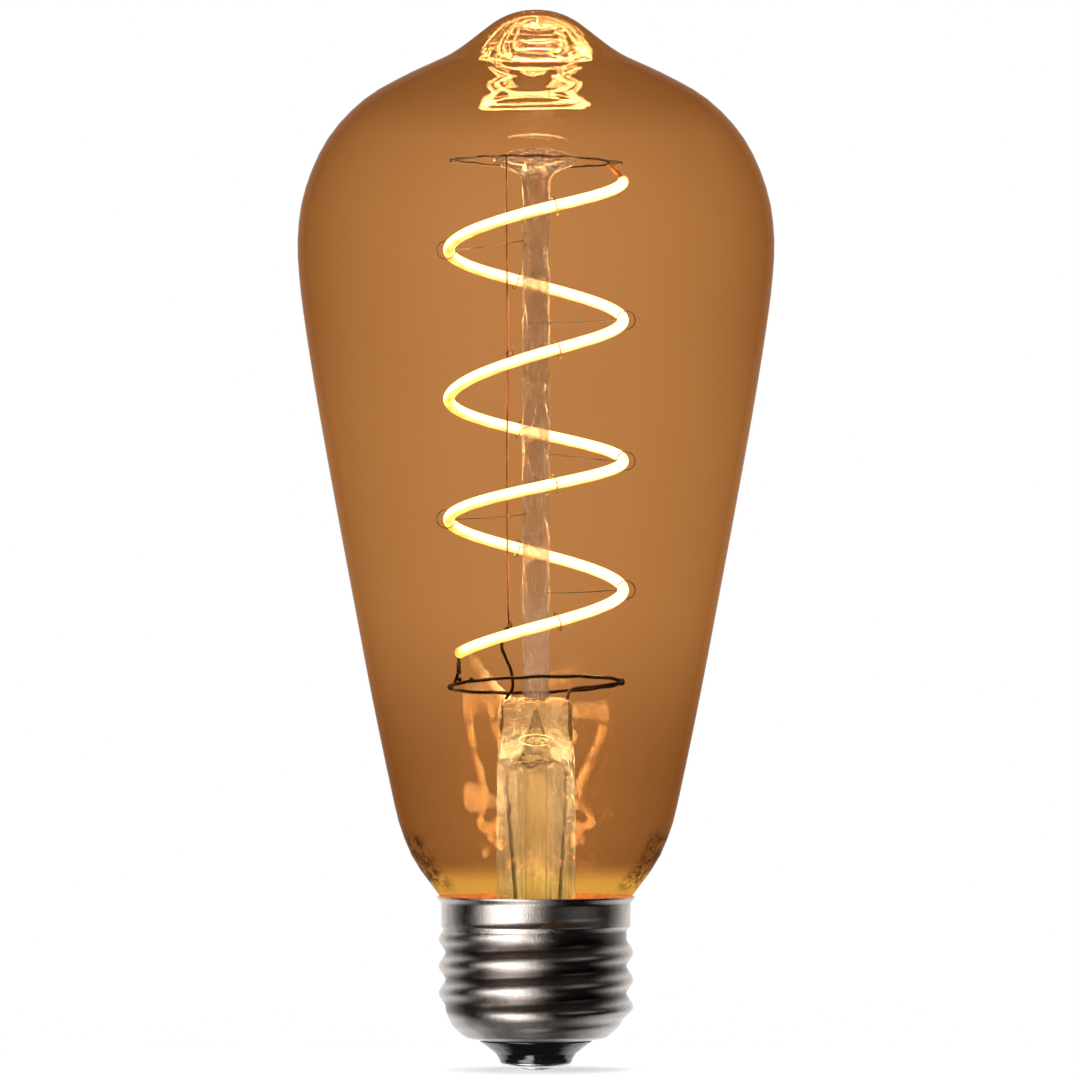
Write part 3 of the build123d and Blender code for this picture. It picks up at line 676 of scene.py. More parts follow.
class Finishes:
    """Every finish of the lamp, under the maker's name for it."""

    bulb_skin = AmberGlass("amber_glass_skin", mirrors_inside=True, tinted=True)
    bulb_lining = AmberGlass("amber_glass_lining")
    rod = BlownGlass(
        "rod_glass", tint=(0.97, 0.96, 0.97), bloom=(0.50, 0.57, 0.80), near_bloom=0.29, far_bloom=0.29,
        straight=0.72, ripple=0.000004, painted_ribbon_pitch=19 * MM,
    )
    stem = BlownGlass(
        "stem_glass", tint=(0.985, 0.96, 0.88), bloom=(0.90, 0.96, 0.93), near_bloom=0.12, far_bloom=0.70,
        ripple=0.000012, ripple_scale=240.0, stretch=(1.0, 1.0, 0.5), fold_height=42.5 * MM, core=2.1 * MM,
        clear_above=43.5 * MM,
    )
    phosphor = LitPhosphor("lit_phosphor_silicone")
    carrier = Grained("filament_carrier", (0.72, 0.48, 0.13), (0.60, 0.38, 0.10), rough=(0.3, 0.5))
    dice = Grained("led_dice", (0.70, 0.68, 0.55), (0.55, 0.55, 0.45), rough=(0.2, 0.35))
    nickel = Drawn("nickel_wire", (0.035, 0.026, 0.024), (0.012, 0.010, 0.010), (0.4, 0.6))
    ring = Drawn("ring_wire", (0.050, 0.033, 0.028), (0.020, 0.013, 0.012), (0.4, 0.6))
    tab = Drawn("end_tab", (0.12, 0.045, 0.017), (0.05, 0.02, 0.012), (0.35, 0.55), 1300.0)
    bronze = Drawn("return_wire_bronze", (0.13, 0.055, 0.024), (0.05, 0.024, 0.014), (0.35, 0.55))
    support = Drawn("support_wire_molybdenum", (0.060, 0.050, 0.046), (0.03, 0.025, 0.023), (0.4, 0.55))
    sealing = Drawn("sealing_wire_oxide", (0.45, 0.30, 0.07), (0.30, 0.17, 0.05), (0.35, 0.6))
    copper = Drawn("lead_copper", (0.12, 0.085, 0.07), (0.05, 0.035, 0.03), (0.4, 0.6))
    cap = RolledNickel("rolled_nickel")
    cement = Grained(
        "cap_cement", (0.30, 0.115, 0.06), (0.16, 0.055, 0.03), patch=900.0, grain=5200.0, rough=(0.7, 0.9),
        depth=0.00008,
    )
    black_glass = BlackGlass("black_glass")
    contact = Grained(
        "tinned_contact", (0.78, 0.76, 0.72), (0.55, 0.52, 0.48), patch=700.0, rough=(0.16, 0.34), metal=1.0,
        depth=0.00003,
    )
    solder = Grained(
        "contact_solder", (0.80, 0.79, 0.77), (0.62, 0.61, 0.59), patch=1200.0, grain=3200.0,
        rough=(0.2, 0.42), metal=1.0, depth=0.00006,
    )
    liner = Grained("liner_sleeve", (0.80, 0.78, 0.70), (0.70, 0.68, 0.60), rough=(0.5, 0.7), depth=0.00001)
    board = CircuitBoard("driver_board_mask")
    radio_board = CircuitBoard(
        "radio_board_mask", (0.008, 0.04, 0.12), (0.015, 0.08, 0.20), (0.80, 0.58, 0.22), 0.7 * MM, True
    )
    moulding = Grained("epoxy_moulding", (0.022, 0.022, 0.025), (0.040, 0.040, 0.043), rough=(0.45, 0.62))
    can = Grained(
        "capacitor_aluminium", (0.74, 0.75, 0.77), (0.62, 0.63, 0.66), rough=(0.22, 0.36), metal=1.0,
        stretch=(1.0, 1.0, 0.15), patch=1500.0,
    )
    bung = Grained("bung_rubber", (0.03, 0.03, 0.032), (0.05, 0.048, 0.045), rough=(0.7, 0.85))
    ferrite = Grained("ferrite", (0.045, 0.046, 0.050), (0.08, 0.08, 0.085), rough=(0.5, 0.7), depth=0.00005)
    winding = Wound("enamelled_winding", row=0.4 * MM)
    fuse = Grained("fuse_lacquer", (0.10, 0.30, 0.18), (0.07, 0.22, 0.13), rough=(0.3, 0.45), coat=0.3)
    film_box = Grained(
        "film_capacitor_box", (0.48, 0.05, 0.03), (0.38, 0.035, 0.025), rough=(0.2, 0.3), coat=0.4
    )
    chip_ceramic = Grained("chip_ceramic", (0.50, 0.38, 0.24), (0.40, 0.30, 0.19), rough=(0.4, 0.55))
    resistor = Grained("resistor_film", (0.03, 0.03, 0.035), (0.06, 0.06, 0.065), rough=(0.25, 0.4), coat=0.3)
    shield = Grained(
        "tinned_shield", (0.72, 0.72, 0.71), (0.60, 0.60, 0.60), rough=(0.22, 0.38), metal=1.0,
        stretch=(0.3, 1.0, 1.0), depth=0.00001,
    )
    pins = Grained("gold_pins", (0.86, 0.62, 0.24), (0.72, 0.50, 0.19), rough=(0.18, 0.3), metal=1.0)


# ---------------------------------------------------------------- lines and meshes
def smooth_line(points: Sequence[Sequence[float]], spacing: float) -> np.ndarray:
    """A centripetal Catmull-Rom line through points, in two or three dimensions.

    Args:
        points: the points it passes through.
        spacing: about how far apart its own points are.

    Returns:
        The line's points, one row each.
    """
    knots = np.asarray(points, float)
    ends = np.vstack([2 * knots[0] - knots[1], knots, 2 * knots[-1] - knots[-2]])
    line = [knots[0]]
    for a, b, c, d in zip(ends, ends[1:], ends[2:], ends[3:]):
        t0 = 0.0
        t1 = t0 + max(np.linalg.norm(b - a), 1e-9) ** 0.5
        t2 = t1 + max(np.linalg.norm(c - b), 1e-9) ** 0.5
        t3 = t2 + max(np.linalg.norm(d - c), 1e-9) ** 0.5
        count = max(2, int(math.ceil(np.linalg.norm(c - b) / spacing)))
        for t in np.linspace(t1, t2, count + 1)[1:]:
            ab = (t1 - t) / (t1 - t0) * a + (t - t0) / (t1 - t0) * b
            bc = (t2 - t) / (t2 - t1) * b + (t - t1) / (t2 - t1) * c
            cd = (t3 - t) / (t3 - t2) * c + (t - t2) / (t3 - t2) * d
            abc = (t2 - t) / (t2 - t0) * ab + (t - t0) / (t2 - t0) * bc
            bcd = (t3 - t) / (t3 - t1) * bc + (t - t1) / (t3 - t1) * cd
            line.append((t2 - t) / (t2 - t1) * abc + (t - t1) / (t2 - t1) * bcd)
    return np.array(line)


def even_line(line: np.ndarray, spacing: float, end_radius: float = 0.0) -> np.ndarray:
    """A line with its points set out evenly, and closer towards its ends where the ends are to be rounded.

    Args:
        line: the line's points.
        spacing: how far apart the new ones are.
        end_radius: the radius of the rounded ends, or 0 for none.

    Returns:
        The new points.
    """
    gone = np.concatenate([[0.0], np.cumsum(np.linalg.norm(np.diff(line, axis=0), axis=1))])
    places = list(np.linspace(0, gone[-1], max(2, int(round(gone[-1] / spacing)) + 1)))
    if end_radius:
        near = [end_radius * (1 - math.cos(math.radians(a))) for a in (0, 18, 36, 54, 72, 90)]
        places = [p for p in places if end_radius * 1.3 < p < gone[-1] - end_radius * 1.3]
        places = near + places + [gone[-1] - n for n in reversed(near)]
    return np.stack([np.interp(places, gone, line[:, i]) for i in range(line.shape[1])], axis=1)


def rounded_profile(
    corners: Sequence[tuple[float, float, float]], step: float = 0.08
) -> list[tuple[float, float]]:
    """A profile with rounded corners.

    Args:
        corners: (radius from the axis, height, rounding) of each corner, in mm.
        step: the longest chord of a rounding, in mm.

    Returns:
        (radius, height) of the profile's points, in metres.
    """
    out: list[tuple[float, float]] = []
    places = [np.array(c[:2], float) for c in corners]
    for i, (here, rounding) in enumerate(zip(places, (c[2] for c in corners))):
        if rounding <= 0 or i in (0, len(places) - 1):
            out.append(tuple(here * MM))
            continue
        back, ahead = places[i - 1] - here, places[i + 1] - here
        a, b = np.linalg.norm(back), np.linalg.norm(ahead)
        back, ahead = back / a, ahead / b
        half = math.acos(max(-1.0, min(1.0, float(back @ ahead)))) / 2
        cut = min(rounding / math.tan(half), 0.48 * a, 0.48 * b)
        start, end = here + back * cut, here + ahead * cut
        count = max(3, int(math.ceil(cut * 1.6 / step)))
        for t in np.linspace(0, 1, count + 1):
            out.append(tuple(((1 - t) ** 2 * start + 2 * t * (1 - t) * here + t**2 * end) * MM))
    return out


def divided(profile: Sequence[tuple[float, float]], longest: float) -> list[tuple[float, float]]:
    """The profile with its long straights divided, so that a rule can shape them."""
    out = [profile[0]]
    for a, b in zip(profile, profile[1:]):
        count = max(1, int(math.ceil(math.dist(a, b) / longest)))
        out += [tuple(np.array(a) + (np.array(b) - np.array(a)) * i / count) for i in range(1, count + 1)]
    return out


def new_mesh(name: str, vertices: np.ndarray, faces: Iterable[Sequence[int]]) -> bpy.types.Mesh:
    """A smooth-shaded mesh."""
    mesh = bpy.data.meshes.new(name)
    mesh.from_pydata([tuple(v) for v in vertices], [], [tuple(f) for f in faces])
    mesh.polygons.foreach_set("use_smooth", [True] * len(mesh.polygons))
    mesh.update()
    return mesh


def circle(count: int) -> np.ndarray:
    """That many even angles round the axis."""
    return np.arange(count) * 2 * math.pi / count


def ring_faces(rings: Sequence[np.ndarray], closed: bool = False, start: int = 0) -> list[tuple[int, ...]]:
    """The faces between rings of points, one above the other; a ring of one point is a pole.

    Args:
        rings: the rings, in order along the profile, each with the same count of points or just one.
        closed: whether the last ring joins the first.
        start: the number of the first ring's first point.

    Returns:
        The faces, which point outwards where the profile has the solid on its left.
    """
    starts = start + np.concatenate([[0], np.cumsum([len(r) for r in rings])])
    faces: list[tuple[int, ...]] = []
    pairs = [(i, i + 1) for i in range(len(rings) - 1)] + ([(len(rings) - 1, 0)] if closed else [])
    for low, high in pairs:
        a, b, n = starts[low], starts[high], max(len(rings[low]), len(rings[high]))
        for k in range(n):
            m = (k + 1) % n
            if len(rings[low]) == 1:
                faces.append((a, b + m, b + k))
            elif len(rings[high]) == 1:
                faces.append((a + k, a + m, b))
            else:
                faces.append((a + k, a + m, b + m, b + k))
    return faces


def lathe_rings(profile: Sequence[tuple[float, float]], segments: int) -> list[np.ndarray]:
    """The rings of a profile turned round the axis.

    Args:
        profile: (radius, height) of its points, in metres, with the solid on the left of the way it runs.
        segments: how many steps round the axis.

    Returns:
        The rings, with one point alone where the profile meets the axis.
    """
    angle = circle(segments)
    return [
        np.array([[0.0, 0.0, height]]) if radius < ON_AXIS else
        np.stack([radius * np.cos(angle), radius * np.sin(angle), np.full(segments, height)], axis=1)
        for radius, height in profile
    ]


def turn_out(mesh: bpy.types.Mesh) -> None:
    """Turns a closed mesh's faces outwards, if their signed volume says that they point in."""
    co = np.zeros(len(mesh.vertices) * 3)
    mesh.vertices.foreach_get("co", co)
    co = co.reshape(-1, 3)
    mesh.calc_loop_triangles()
    tri = np.zeros(len(mesh.loop_triangles) * 3, int)
    mesh.loop_triangles.foreach_get("vertices", tri)
    a, b, c = (co[tri.reshape(-1, 3)[:, i]] for i in range(3))
    if float((a * np.cross(b, c)).sum()) < 0:
        mesh.flip_normals()


def ringed(name: str, rings: Sequence[np.ndarray], closed: bool = False) -> bpy.types.Mesh:
    """A solid's mesh from rings of points, with its faces turned outwards."""
    mesh = new_mesh(name, np.vstack(rings), ring_faces(rings, closed))
    turn_out(mesh)
    return mesh


def lathe(
    name: str, profile: Sequence[tuple[float, float]], segments: int, closed: bool = False
) -> bpy.types.Mesh:
    """A solid turned round the axis; its profile is a loop if it is closed."""
    return ringed(name, lathe_rings(profile, segments), closed)


# ---------------------------------------------------------------- geometry trees
class GeometryTree(Graph):
    """A Geometry Nodes tree with named inputs, which ends in a finish and real geometry."""

    KINDS = {float: "NodeSocketFloat", int: "NodeSocketInt", bpy.types.Material: "NodeSocketMaterial"}

    def __init__(self, name: str, **kinds: type) -> None:
        """Makes the tree.

        Args:
            name: the tree's name.
            kinds: the type of each of its inputs, by name.
        """
        tree = bpy.data.node_groups.new(name, "GeometryNodeTree")
        super().__init__(tree)
        tree.interface.new_socket("Geometry", in_out="INPUT", socket_type="NodeSocketGeometry")
        tree.interface.new_socket("Geometry", in_out="OUTPUT", socket_type="NodeSocketGeometry")
        kinds["Finish"] = bpy.types.Material
        self.keys = {
            label: tree.interface.new_socket(label, in_out="INPUT", socket_type=self.KINDS[kind]).identifier
            for label, kind in kinds.items()
        }
        self.source = tree.nodes.new("NodeGroupInput")

    def given(self, label: str) -> Link:
        """One of the tree's own inputs."""
        return Link(self, self.source.outputs[label])

    def store(self, geometry: Link, label: str, value: Link) -> Link:
        """Keeps a number for each point under a name that a material can read."""
        return self.node(
            "GeometryNodeStoreNamedAttribute",
            {"data_type": "FLOAT", "domain": "POINT"},
            {"Geometry": geometry, "Name": label, "Value": value},
        )

    def close(self, geometry: Link) -> None:
        """Ends the tree in real geometry with its finish."""
        smooth = self.node("GeometryNodeSetShadeSmooth", None, {"Geometry": geometry})
        real = self.node("GeometryNodeRealizeInstances", None, {"Geometry": smooth})
        finish = self.given("Finish")
        dressed = self.node("GeometryNodeSetMaterial", None, {"Geometry": real, "Material": finish})
        self.node("NodeGroupOutput", None, {"Geometry": dressed})

    def run(self, mesh: bpy.types.Mesh, name: str, finish: Finish, **values: object) -> bpy.types.Object:
        """Runs the tree on a mesh.

        Args:
            mesh: what the tree starts from.
            name: the new piece's name.
            finish: what it is made of.
            values: the tree's inputs, by name.

        Returns:
            The piece, a plain mesh with no modifier.
        """
        carrier = bpy.data.objects.new(name + "_source", mesh)
        bpy.context.scene.collection.objects.link(carrier)
        modifier = carrier.modifiers.new("shape", "NODES")
        modifier.node_group = self.tree
        for label, value in {**values, "Finish": finish.material()}.items():
            modifier[self.keys[label]] = value
        graph = bpy.context.evaluated_depsgraph_get()
        result = bpy.data.meshes.new_from_object(carrier.evaluated_get(graph))
        result.name = name
        carrier.modifiers.remove(modifier)
        bpy.data.objects.remove(carrier)
        if not result.materials:
            result.materials.append(finish.material())
        return piece(name, result)


def wire_tree() -> GeometryTree:
    """The tree that lays round wire with rounded ends along a line."""
    t = GeometryTree("wire_along_a_line", Radius=float, Sides=int)
    curve = t.node("GeometryNodeMeshToCurve", None, {"Mesh": t.given("Geometry")})
    gone = t.node("GeometryNodeSplineParameter", output="Length")
    whole = t.node("GeometryNodeSplineLength", output="Length")
    near = gone.does("MINIMUM", whole - gone)
    share = (near / t.given("Radius")).does("MINIMUM", 1.0)
    swell = (share * (2.0 - share)).does("MAXIMUM", 0.0004).does("SQRT")
    curve = t.store(curve, "along", gone)
    curve = t.store(curve, "to_end", near)
    curve = t.node("GeometryNodeSetCurveRadius", None, {"Curve": curve, "Radius": swell})
    ring = t.node(
        "GeometryNodeCurvePrimitiveCircle", None,
        {"Resolution": t.given("Sides"), "Radius": t.given("Radius")},
    )
    body = t.node(
        "GeometryNodeCurveToMesh", None, {"Curve": curve, "Profile Curve": ring, "Fill Caps": True}
    )
    t.close(t.store(body, "under", t.axes(t.node("GeometryNodeInputNormal"))[2] * -1.0))
    return t


def eye_tree() -> GeometryTree:
    """The tree that sets a wire eye on each point, turned as the point's own number says."""
    t = GeometryTree("eyes_on_points", Eye_Radius=float, Wire_Radius=float)
    eye, wire = (
        t.node("GeometryNodeCurvePrimitiveCircle", None, {"Resolution": sides, "Radius": t.given(size)})
        for sides, size in ((40, "Eye_Radius"), (8, "Wire_Radius"))
    )
    ring = t.node("GeometryNodeCurveToMesh", None, {"Curve": eye, "Profile Curve": wire})
    turn = t.node("GeometryNodeInputNamedAttribute", {"data_type": "FLOAT_VECTOR"}, {"Name": "turn"})
    t.close(
        t.node(
            "GeometryNodeInstanceOnPoints", None,
            {"Points": t.given("Geometry"), "Instance": ring, "Rotation": turn},
        )
    )
    return t


def thread_tree() -> GeometryTree:
    """The tree that rolls a right-hand thread into a sheet-metal sleeve, with run-outs at both ends."""
    t = GeometryTree("rolled_thread", Pitch=float, Height=float, First=float, Last=float, Runout=float)
    x, y, z = t.axes(t.node("GeometryNodeInputPosition"))
    turn = y.does("ARCTAN2", x) * (0.5 / math.pi)
    pitch = t.given("Pitch")
    phase = (z - t.given("First")) / pitch - turn - 0.25
    offset = phase - phase.does("ROUND")
    crest_z = z - offset * pitch
    runout = t.given("Runout")
    start = ((crest_z - t.given("First") + runout) / runout).step(0.0, 1.0)
    end = ((t.given("Last") - crest_z + runout) / runout).step(0.0, 1.0)
    swell = ((offset * (2 * math.pi)).does("COSINE") * 0.5 + 0.5) ** 0.85
    rise = swell * start * end * t.given("Height")
    radius = from_axis(x, y).does("MAXIMUM", 1e-6)
    push = t.node("ShaderNodeCombineXYZ", None, {"X": x / radius * rise, "Y": y / radius * rise, "Z": 0.0})
    t.close(t.node("GeometryNodeSetPosition", None, {"Geometry": t.given("Geometry"), "Offset": push}))
    return t


def crumb_tree() -> GeometryTree:
    """The tree that scatters crumbs of cement over a ring, each a small rough lump."""
    t = GeometryTree("crumbs_on_a_ring", Count=int, Size=float, Seed=int)
    lump = t.node("GeometryNodeMeshIcoSphere", None, {"Radius": t.given("Size"), "Subdivisions": 2})
    rough = t.node("ShaderNodeTexNoise", {"noise_dimensions": "3D"}, {"Scale": 5200.0, "Detail": 2.0})
    push = t.scaled(t.node("GeometryNodeInputNormal"), (rough - 0.5) * t.given("Size"))
    lump = t.node("GeometryNodeSetPosition", None, {"Geometry": lump, "Offset": push})
    points = t.node(
        "GeometryNodeDistributePointsOnFaces",
        {"distribute_method": "RANDOM"},
        {"Mesh": t.given("Geometry"), "Density": t.given("Count") * 1.0, "Seed": t.given("Seed")},
    )
    scale = t.node(
        "FunctionNodeRandomValue", {"data_type": "FLOAT_VECTOR"},
        {0: (0.35, 0.35, 0.3), 1: (1.0, 1.0, 0.8), "Seed": t.given("Seed")},
    )
    t.close(
        t.node("GeometryNodeInstanceOnPoints", None, {"Points": points, "Instance": lump, "Scale": scale})
    )
    return t


def piece(name: str, mesh: bpy.types.Mesh, *finishes: Finish) -> bpy.types.Object:
    """Puts a mesh in the scene, dressed in its finishes."""
    made = bpy.data.objects.new(name, mesh)
    for finish in finishes:
        mesh.materials.append(finish.material())
    bpy.context.scene.collection.objects.link(made)
    return made


def lines_mesh(name: str, lines: Sequence[np.ndarray]) -> bpy.types.Mesh:
    """A mesh of bare lines, for a tree to lay wire along."""
    mesh = bpy.data.meshes.new(name)
    edges: list[tuple[int, int]] = []
    start = 0
    for line in lines:
        edges += [(start + i, start + i + 1) for i in range(len(line) - 1)]
        start += len(line)
    mesh.from_pydata([tuple(p) for p in np.vstack(lines)], edges, [])
    return mesh


# ---------------------------------------------------------------- sub-assemblies
@dataclass
class SubAssembly(ABC):
    """A group of pieces that is built together."""

    def hand_over(self, made: bpy.types.Object, slot: str, *nodes: str) -> None:
        """Rides a piece on the lamp, in place of its CAD nodes.

        Args:
            made: the finished piece.
            slot: the record's material slot for the piece; it is not used.
            nodes: the CAD nodes that it stands for.
        """
        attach(made, BODY)
        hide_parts(*nodes)
        LOG.info("%s stands for %s, %d faces", made.name, ", ".join(nodes), len(made.data.polygons))

    def turned(
        self, name: str, profile: Sequence[tuple[float, float]], segments: int, finish: Finish, slot: str,
        node: str, closed: bool = True,
    ) -> None:
        """Turns a piece on the axis and hands it over.

        Args:
            name: the piece's name.
            profile: (radius, height) of its points, in metres.
            segments: how many steps round the axis.
            finish: what it is made of.
            slot: the record's material slot.
            node: the CAD node that it stands for.
            closed: whether the profile is a loop, which the axis doesn't close.
        """
        self.hand_over(piece(name, lathe(name, profile, segments, closed), finish), slot, node)

    @abstractmethod
    def build(self) -> None:
        """Builds every piece of the group."""


@dataclass
class Bulb(SubAssembly):
    """The blown glass bulb, with a bead of rings inside its tip, where it was sealed off. Sizes in mm."""

    wall: float = 0.9
    tip_radius: float = 10.2
    tip_arc: float = 40.0
    neck: float = 11.3
    crown_line: Sequence[tuple[float, float]] = (
        (11.2, 136.5), (17.0, 133.75), (23.1, 130.2), (28.05, 124.8), (31.15, 117.6), (32.0, 111.4),
    )
    side_line: Sequence[tuple[float, float]] = (
        (31.75, 106.0), (31.0, 100.0), (29.4, 89.9), (27.0, 76.5), (24.5, 63.1), (21.95, 49.7), (19.3, 37.0),
        (18.35, 33.0), (16.4, 28.2), (14.45, 25.4), (12.4, 22.6), (11.5, 20.6), (11.3, 19.0), (11.3, 16.0),
    )
    segments: int = 176
    spacing: float = 0.3
    thinning: int = 4
    crown_above: float = 100.0
    bead_radius: float = 12.5
    bead_fade: float = 4.0
    bead_height: float = 1.5
    bead_ring: float = 4.4

    def outline(self) -> np.ndarray:
        """(radius, height) of the skin's points from the tip down, in mm."""
        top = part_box("glass_envelope")[1].z / MM
        angle = np.radians(np.linspace(0.0, self.tip_arc, 12))
        radius, drop = self.tip_radius * np.sin(angle), self.tip_radius * (1 - np.cos(angle))
        dome = np.stack([radius, top - drop], axis=1)
        line = smooth_line([*dome[::3], dome[-1], *self.crown_line, *self.side_line], self.spacing)
        return even_line(line, self.spacing)

    def bead(self, radius: np.ndarray) -> np.ndarray:
        """How much thicker the glass is near the tip, where it was sealed off and ran in rings.

        Args:
            radius: distances from the axis, in mm.

        Returns:
            The extra thickness at each, in mm.
        """
        fade = np.clip((self.bead_radius - radius) / self.bead_fade, 0.0, 1.0)
        fade = fade * fade * (3 - 2 * fade)
        return fade * self.bead_height * (1 - np.cos(radius * 2 * math.pi / self.bead_ring)) / 2

    def build(self) -> None:
        """Builds the bulb as one closed shell with a skin and a lining."""
        skin = self.outline()
        slope = np.gradient(skin, axis=0)
        slope /= np.linalg.norm(slope, axis=1)[:, None]
        inwards = np.stack([slope[:, 1], -slope[:, 0]], axis=1)
        lining = skin + inwards * (self.wall + self.bead(skin[:, 0]))[:, None]
        skin[0, 0] = lining[0, 0] = 0.0
        beaded = (skin[:, 0] < self.bead_radius) & (skin[:, 1] > self.crown_above)
        kept = [*np.flatnonzero(beaded | (np.arange(len(skin)) % self.thinning == 0)), len(skin) - 1]
        lining, skin = lining[kept], skin[kept[::2]]
        mesh = lathe("bulb_glass", np.vstack([lining, skin[::-1]]) * MM, self.segments)
        made = piece("bulb_glass", mesh, Finishes.bulb_lining, Finishes.bulb_skin)
        on_lining = self.segments * (len(lining) - 1)
        for face in mesh.polygons:
            face.material_index = int(face.index >= on_lining)
        self.hand_over(made, "amber_glass", "glass_envelope")


@dataclass
class Filament(SubAssembly):
    """The lit spiral and the wire eyes that hold it, sizes in mm."""

    coil_radius: float = 11.7
    thickness: float = 1.46
    quarter_heights: Sequence[float] = (
        119.3, 115.0, 110.0, 105.6, 100.6, 95.8, 89.9, 85.5, 81.7, 78.1, 73.9, 69.4, 64.4, 59.5,
    )
    last_turn: float = 1231.0
    last_height: float = 56.0
    hook_turns: Sequence[float] = (78, 180, 257, 360, 436, 619, 720, 798, 900, 978, 1080, 1156)
    hook_rises: Sequence[float] = (0.8, 1.4, 0.7, -0.3, 1.0, 0.9, 1.1, 0.6, 0.7, 0.8, -0.4, -0.9)
    rod_radius: float = 1.85
    hook_set: float = 1.0
    eye_radius: float = 1.25
    eye_offset: float = 0.35
    hook_wire: float = 0.14
    hook_sag: float = 0.12

    def height(self, turned: float) -> float:
        """Height of the filament's middle, in mm, that many degrees round from its top end."""
        turns = [90.0 * i for i in range(len(self.quarter_heights))] + [self.last_turn]
        return float(np.interp(turned, turns, [*self.quarter_heights, self.last_height]))

    def on_coil(self, turned: float, radius: float | None = None) -> np.ndarray:
        """A point of the coil, in mm."""
        angle = -math.radians(turned)
        r = self.coil_radius if radius is None else radius
        return np.array([r * math.cos(angle), r * math.sin(angle), self.height(turned)])

    def coil_line(self) -> np.ndarray:
        """The filament's middle line, in metres."""
        turns = np.linspace(0, self.last_turn, 29)
        turned, height = smooth_line([(t, self.height(t)) for t in turns], 3.0).T
        angle = -np.radians(turned)
        line = np.stack([self.coil_radius * np.cos(angle), self.coil_radius * np.sin(angle), height], axis=1)
        return even_line(line, 0.75, self.thickness / 2) * MM

    def hooks(self) -> tuple[list[np.ndarray], bpy.types.Mesh]:
        """The hooks' arms, and a point for each eye that holds how the eye is turned."""
        arms, eyes, turns = [], [], []
        out = self.coil_radius + self.eye_offset
        for turned, rise in zip(self.hook_turns, self.hook_rises):
            inner = self.on_coil(turned, out - self.eye_radius)
            root = self.on_coil(turned, self.rod_radius - self.hook_set) + (0, 0, rise)
            middle = (inner + root) / 2 - (0, 0, self.hook_sag)
            arms.append(smooth_line([root, middle, inner], 0.6) * MM)
            ahead = Vector(self.on_coil(turned + 2) - self.on_coil(turned - 2)).normalized()
            turns += ahead.to_track_quat("Z", "Y").to_euler()
            eyes.append(tuple(self.on_coil(turned, out) * MM))
        spots = bpy.data.meshes.new("eye_spots")
        spots.from_pydata(eyes, [], [])
        spots.attributes.new("turn", "FLOAT_VECTOR", "POINT").data.foreach_set("vector", turns)
        return arms, spots

    def build(self) -> None:
        """Builds the filament and its hooks."""
        wire = wire_tree()
        lit = wire.run(
            lines_mesh("coil", [self.coil_line()]), "lit_filament", Finishes.phosphor,
            Radius=self.thickness / 2 * MM, Sides=28,
        )
        self.hand_over(lit, "phosphor", "filament_coating")
        arms, spots = self.hooks()
        thin = self.hook_wire / 2 * MM
        arm_piece = wire.run(lines_mesh("arms", arms), "hook_arms", Finishes.support, Radius=thin, Sides=8)
        eye_piece = eye_tree().run(
            spots, "hook_eyes", Finishes.support, Eye_Radius=self.eye_radius * MM, Wire_Radius=thin
        )
        nodes = [f"support_hook_{i:02d}" for i in range(1, len(arms) + 1)]
        for made in (arm_piece, eye_piece):
            self.hand_over(made, "support_wire", *nodes)


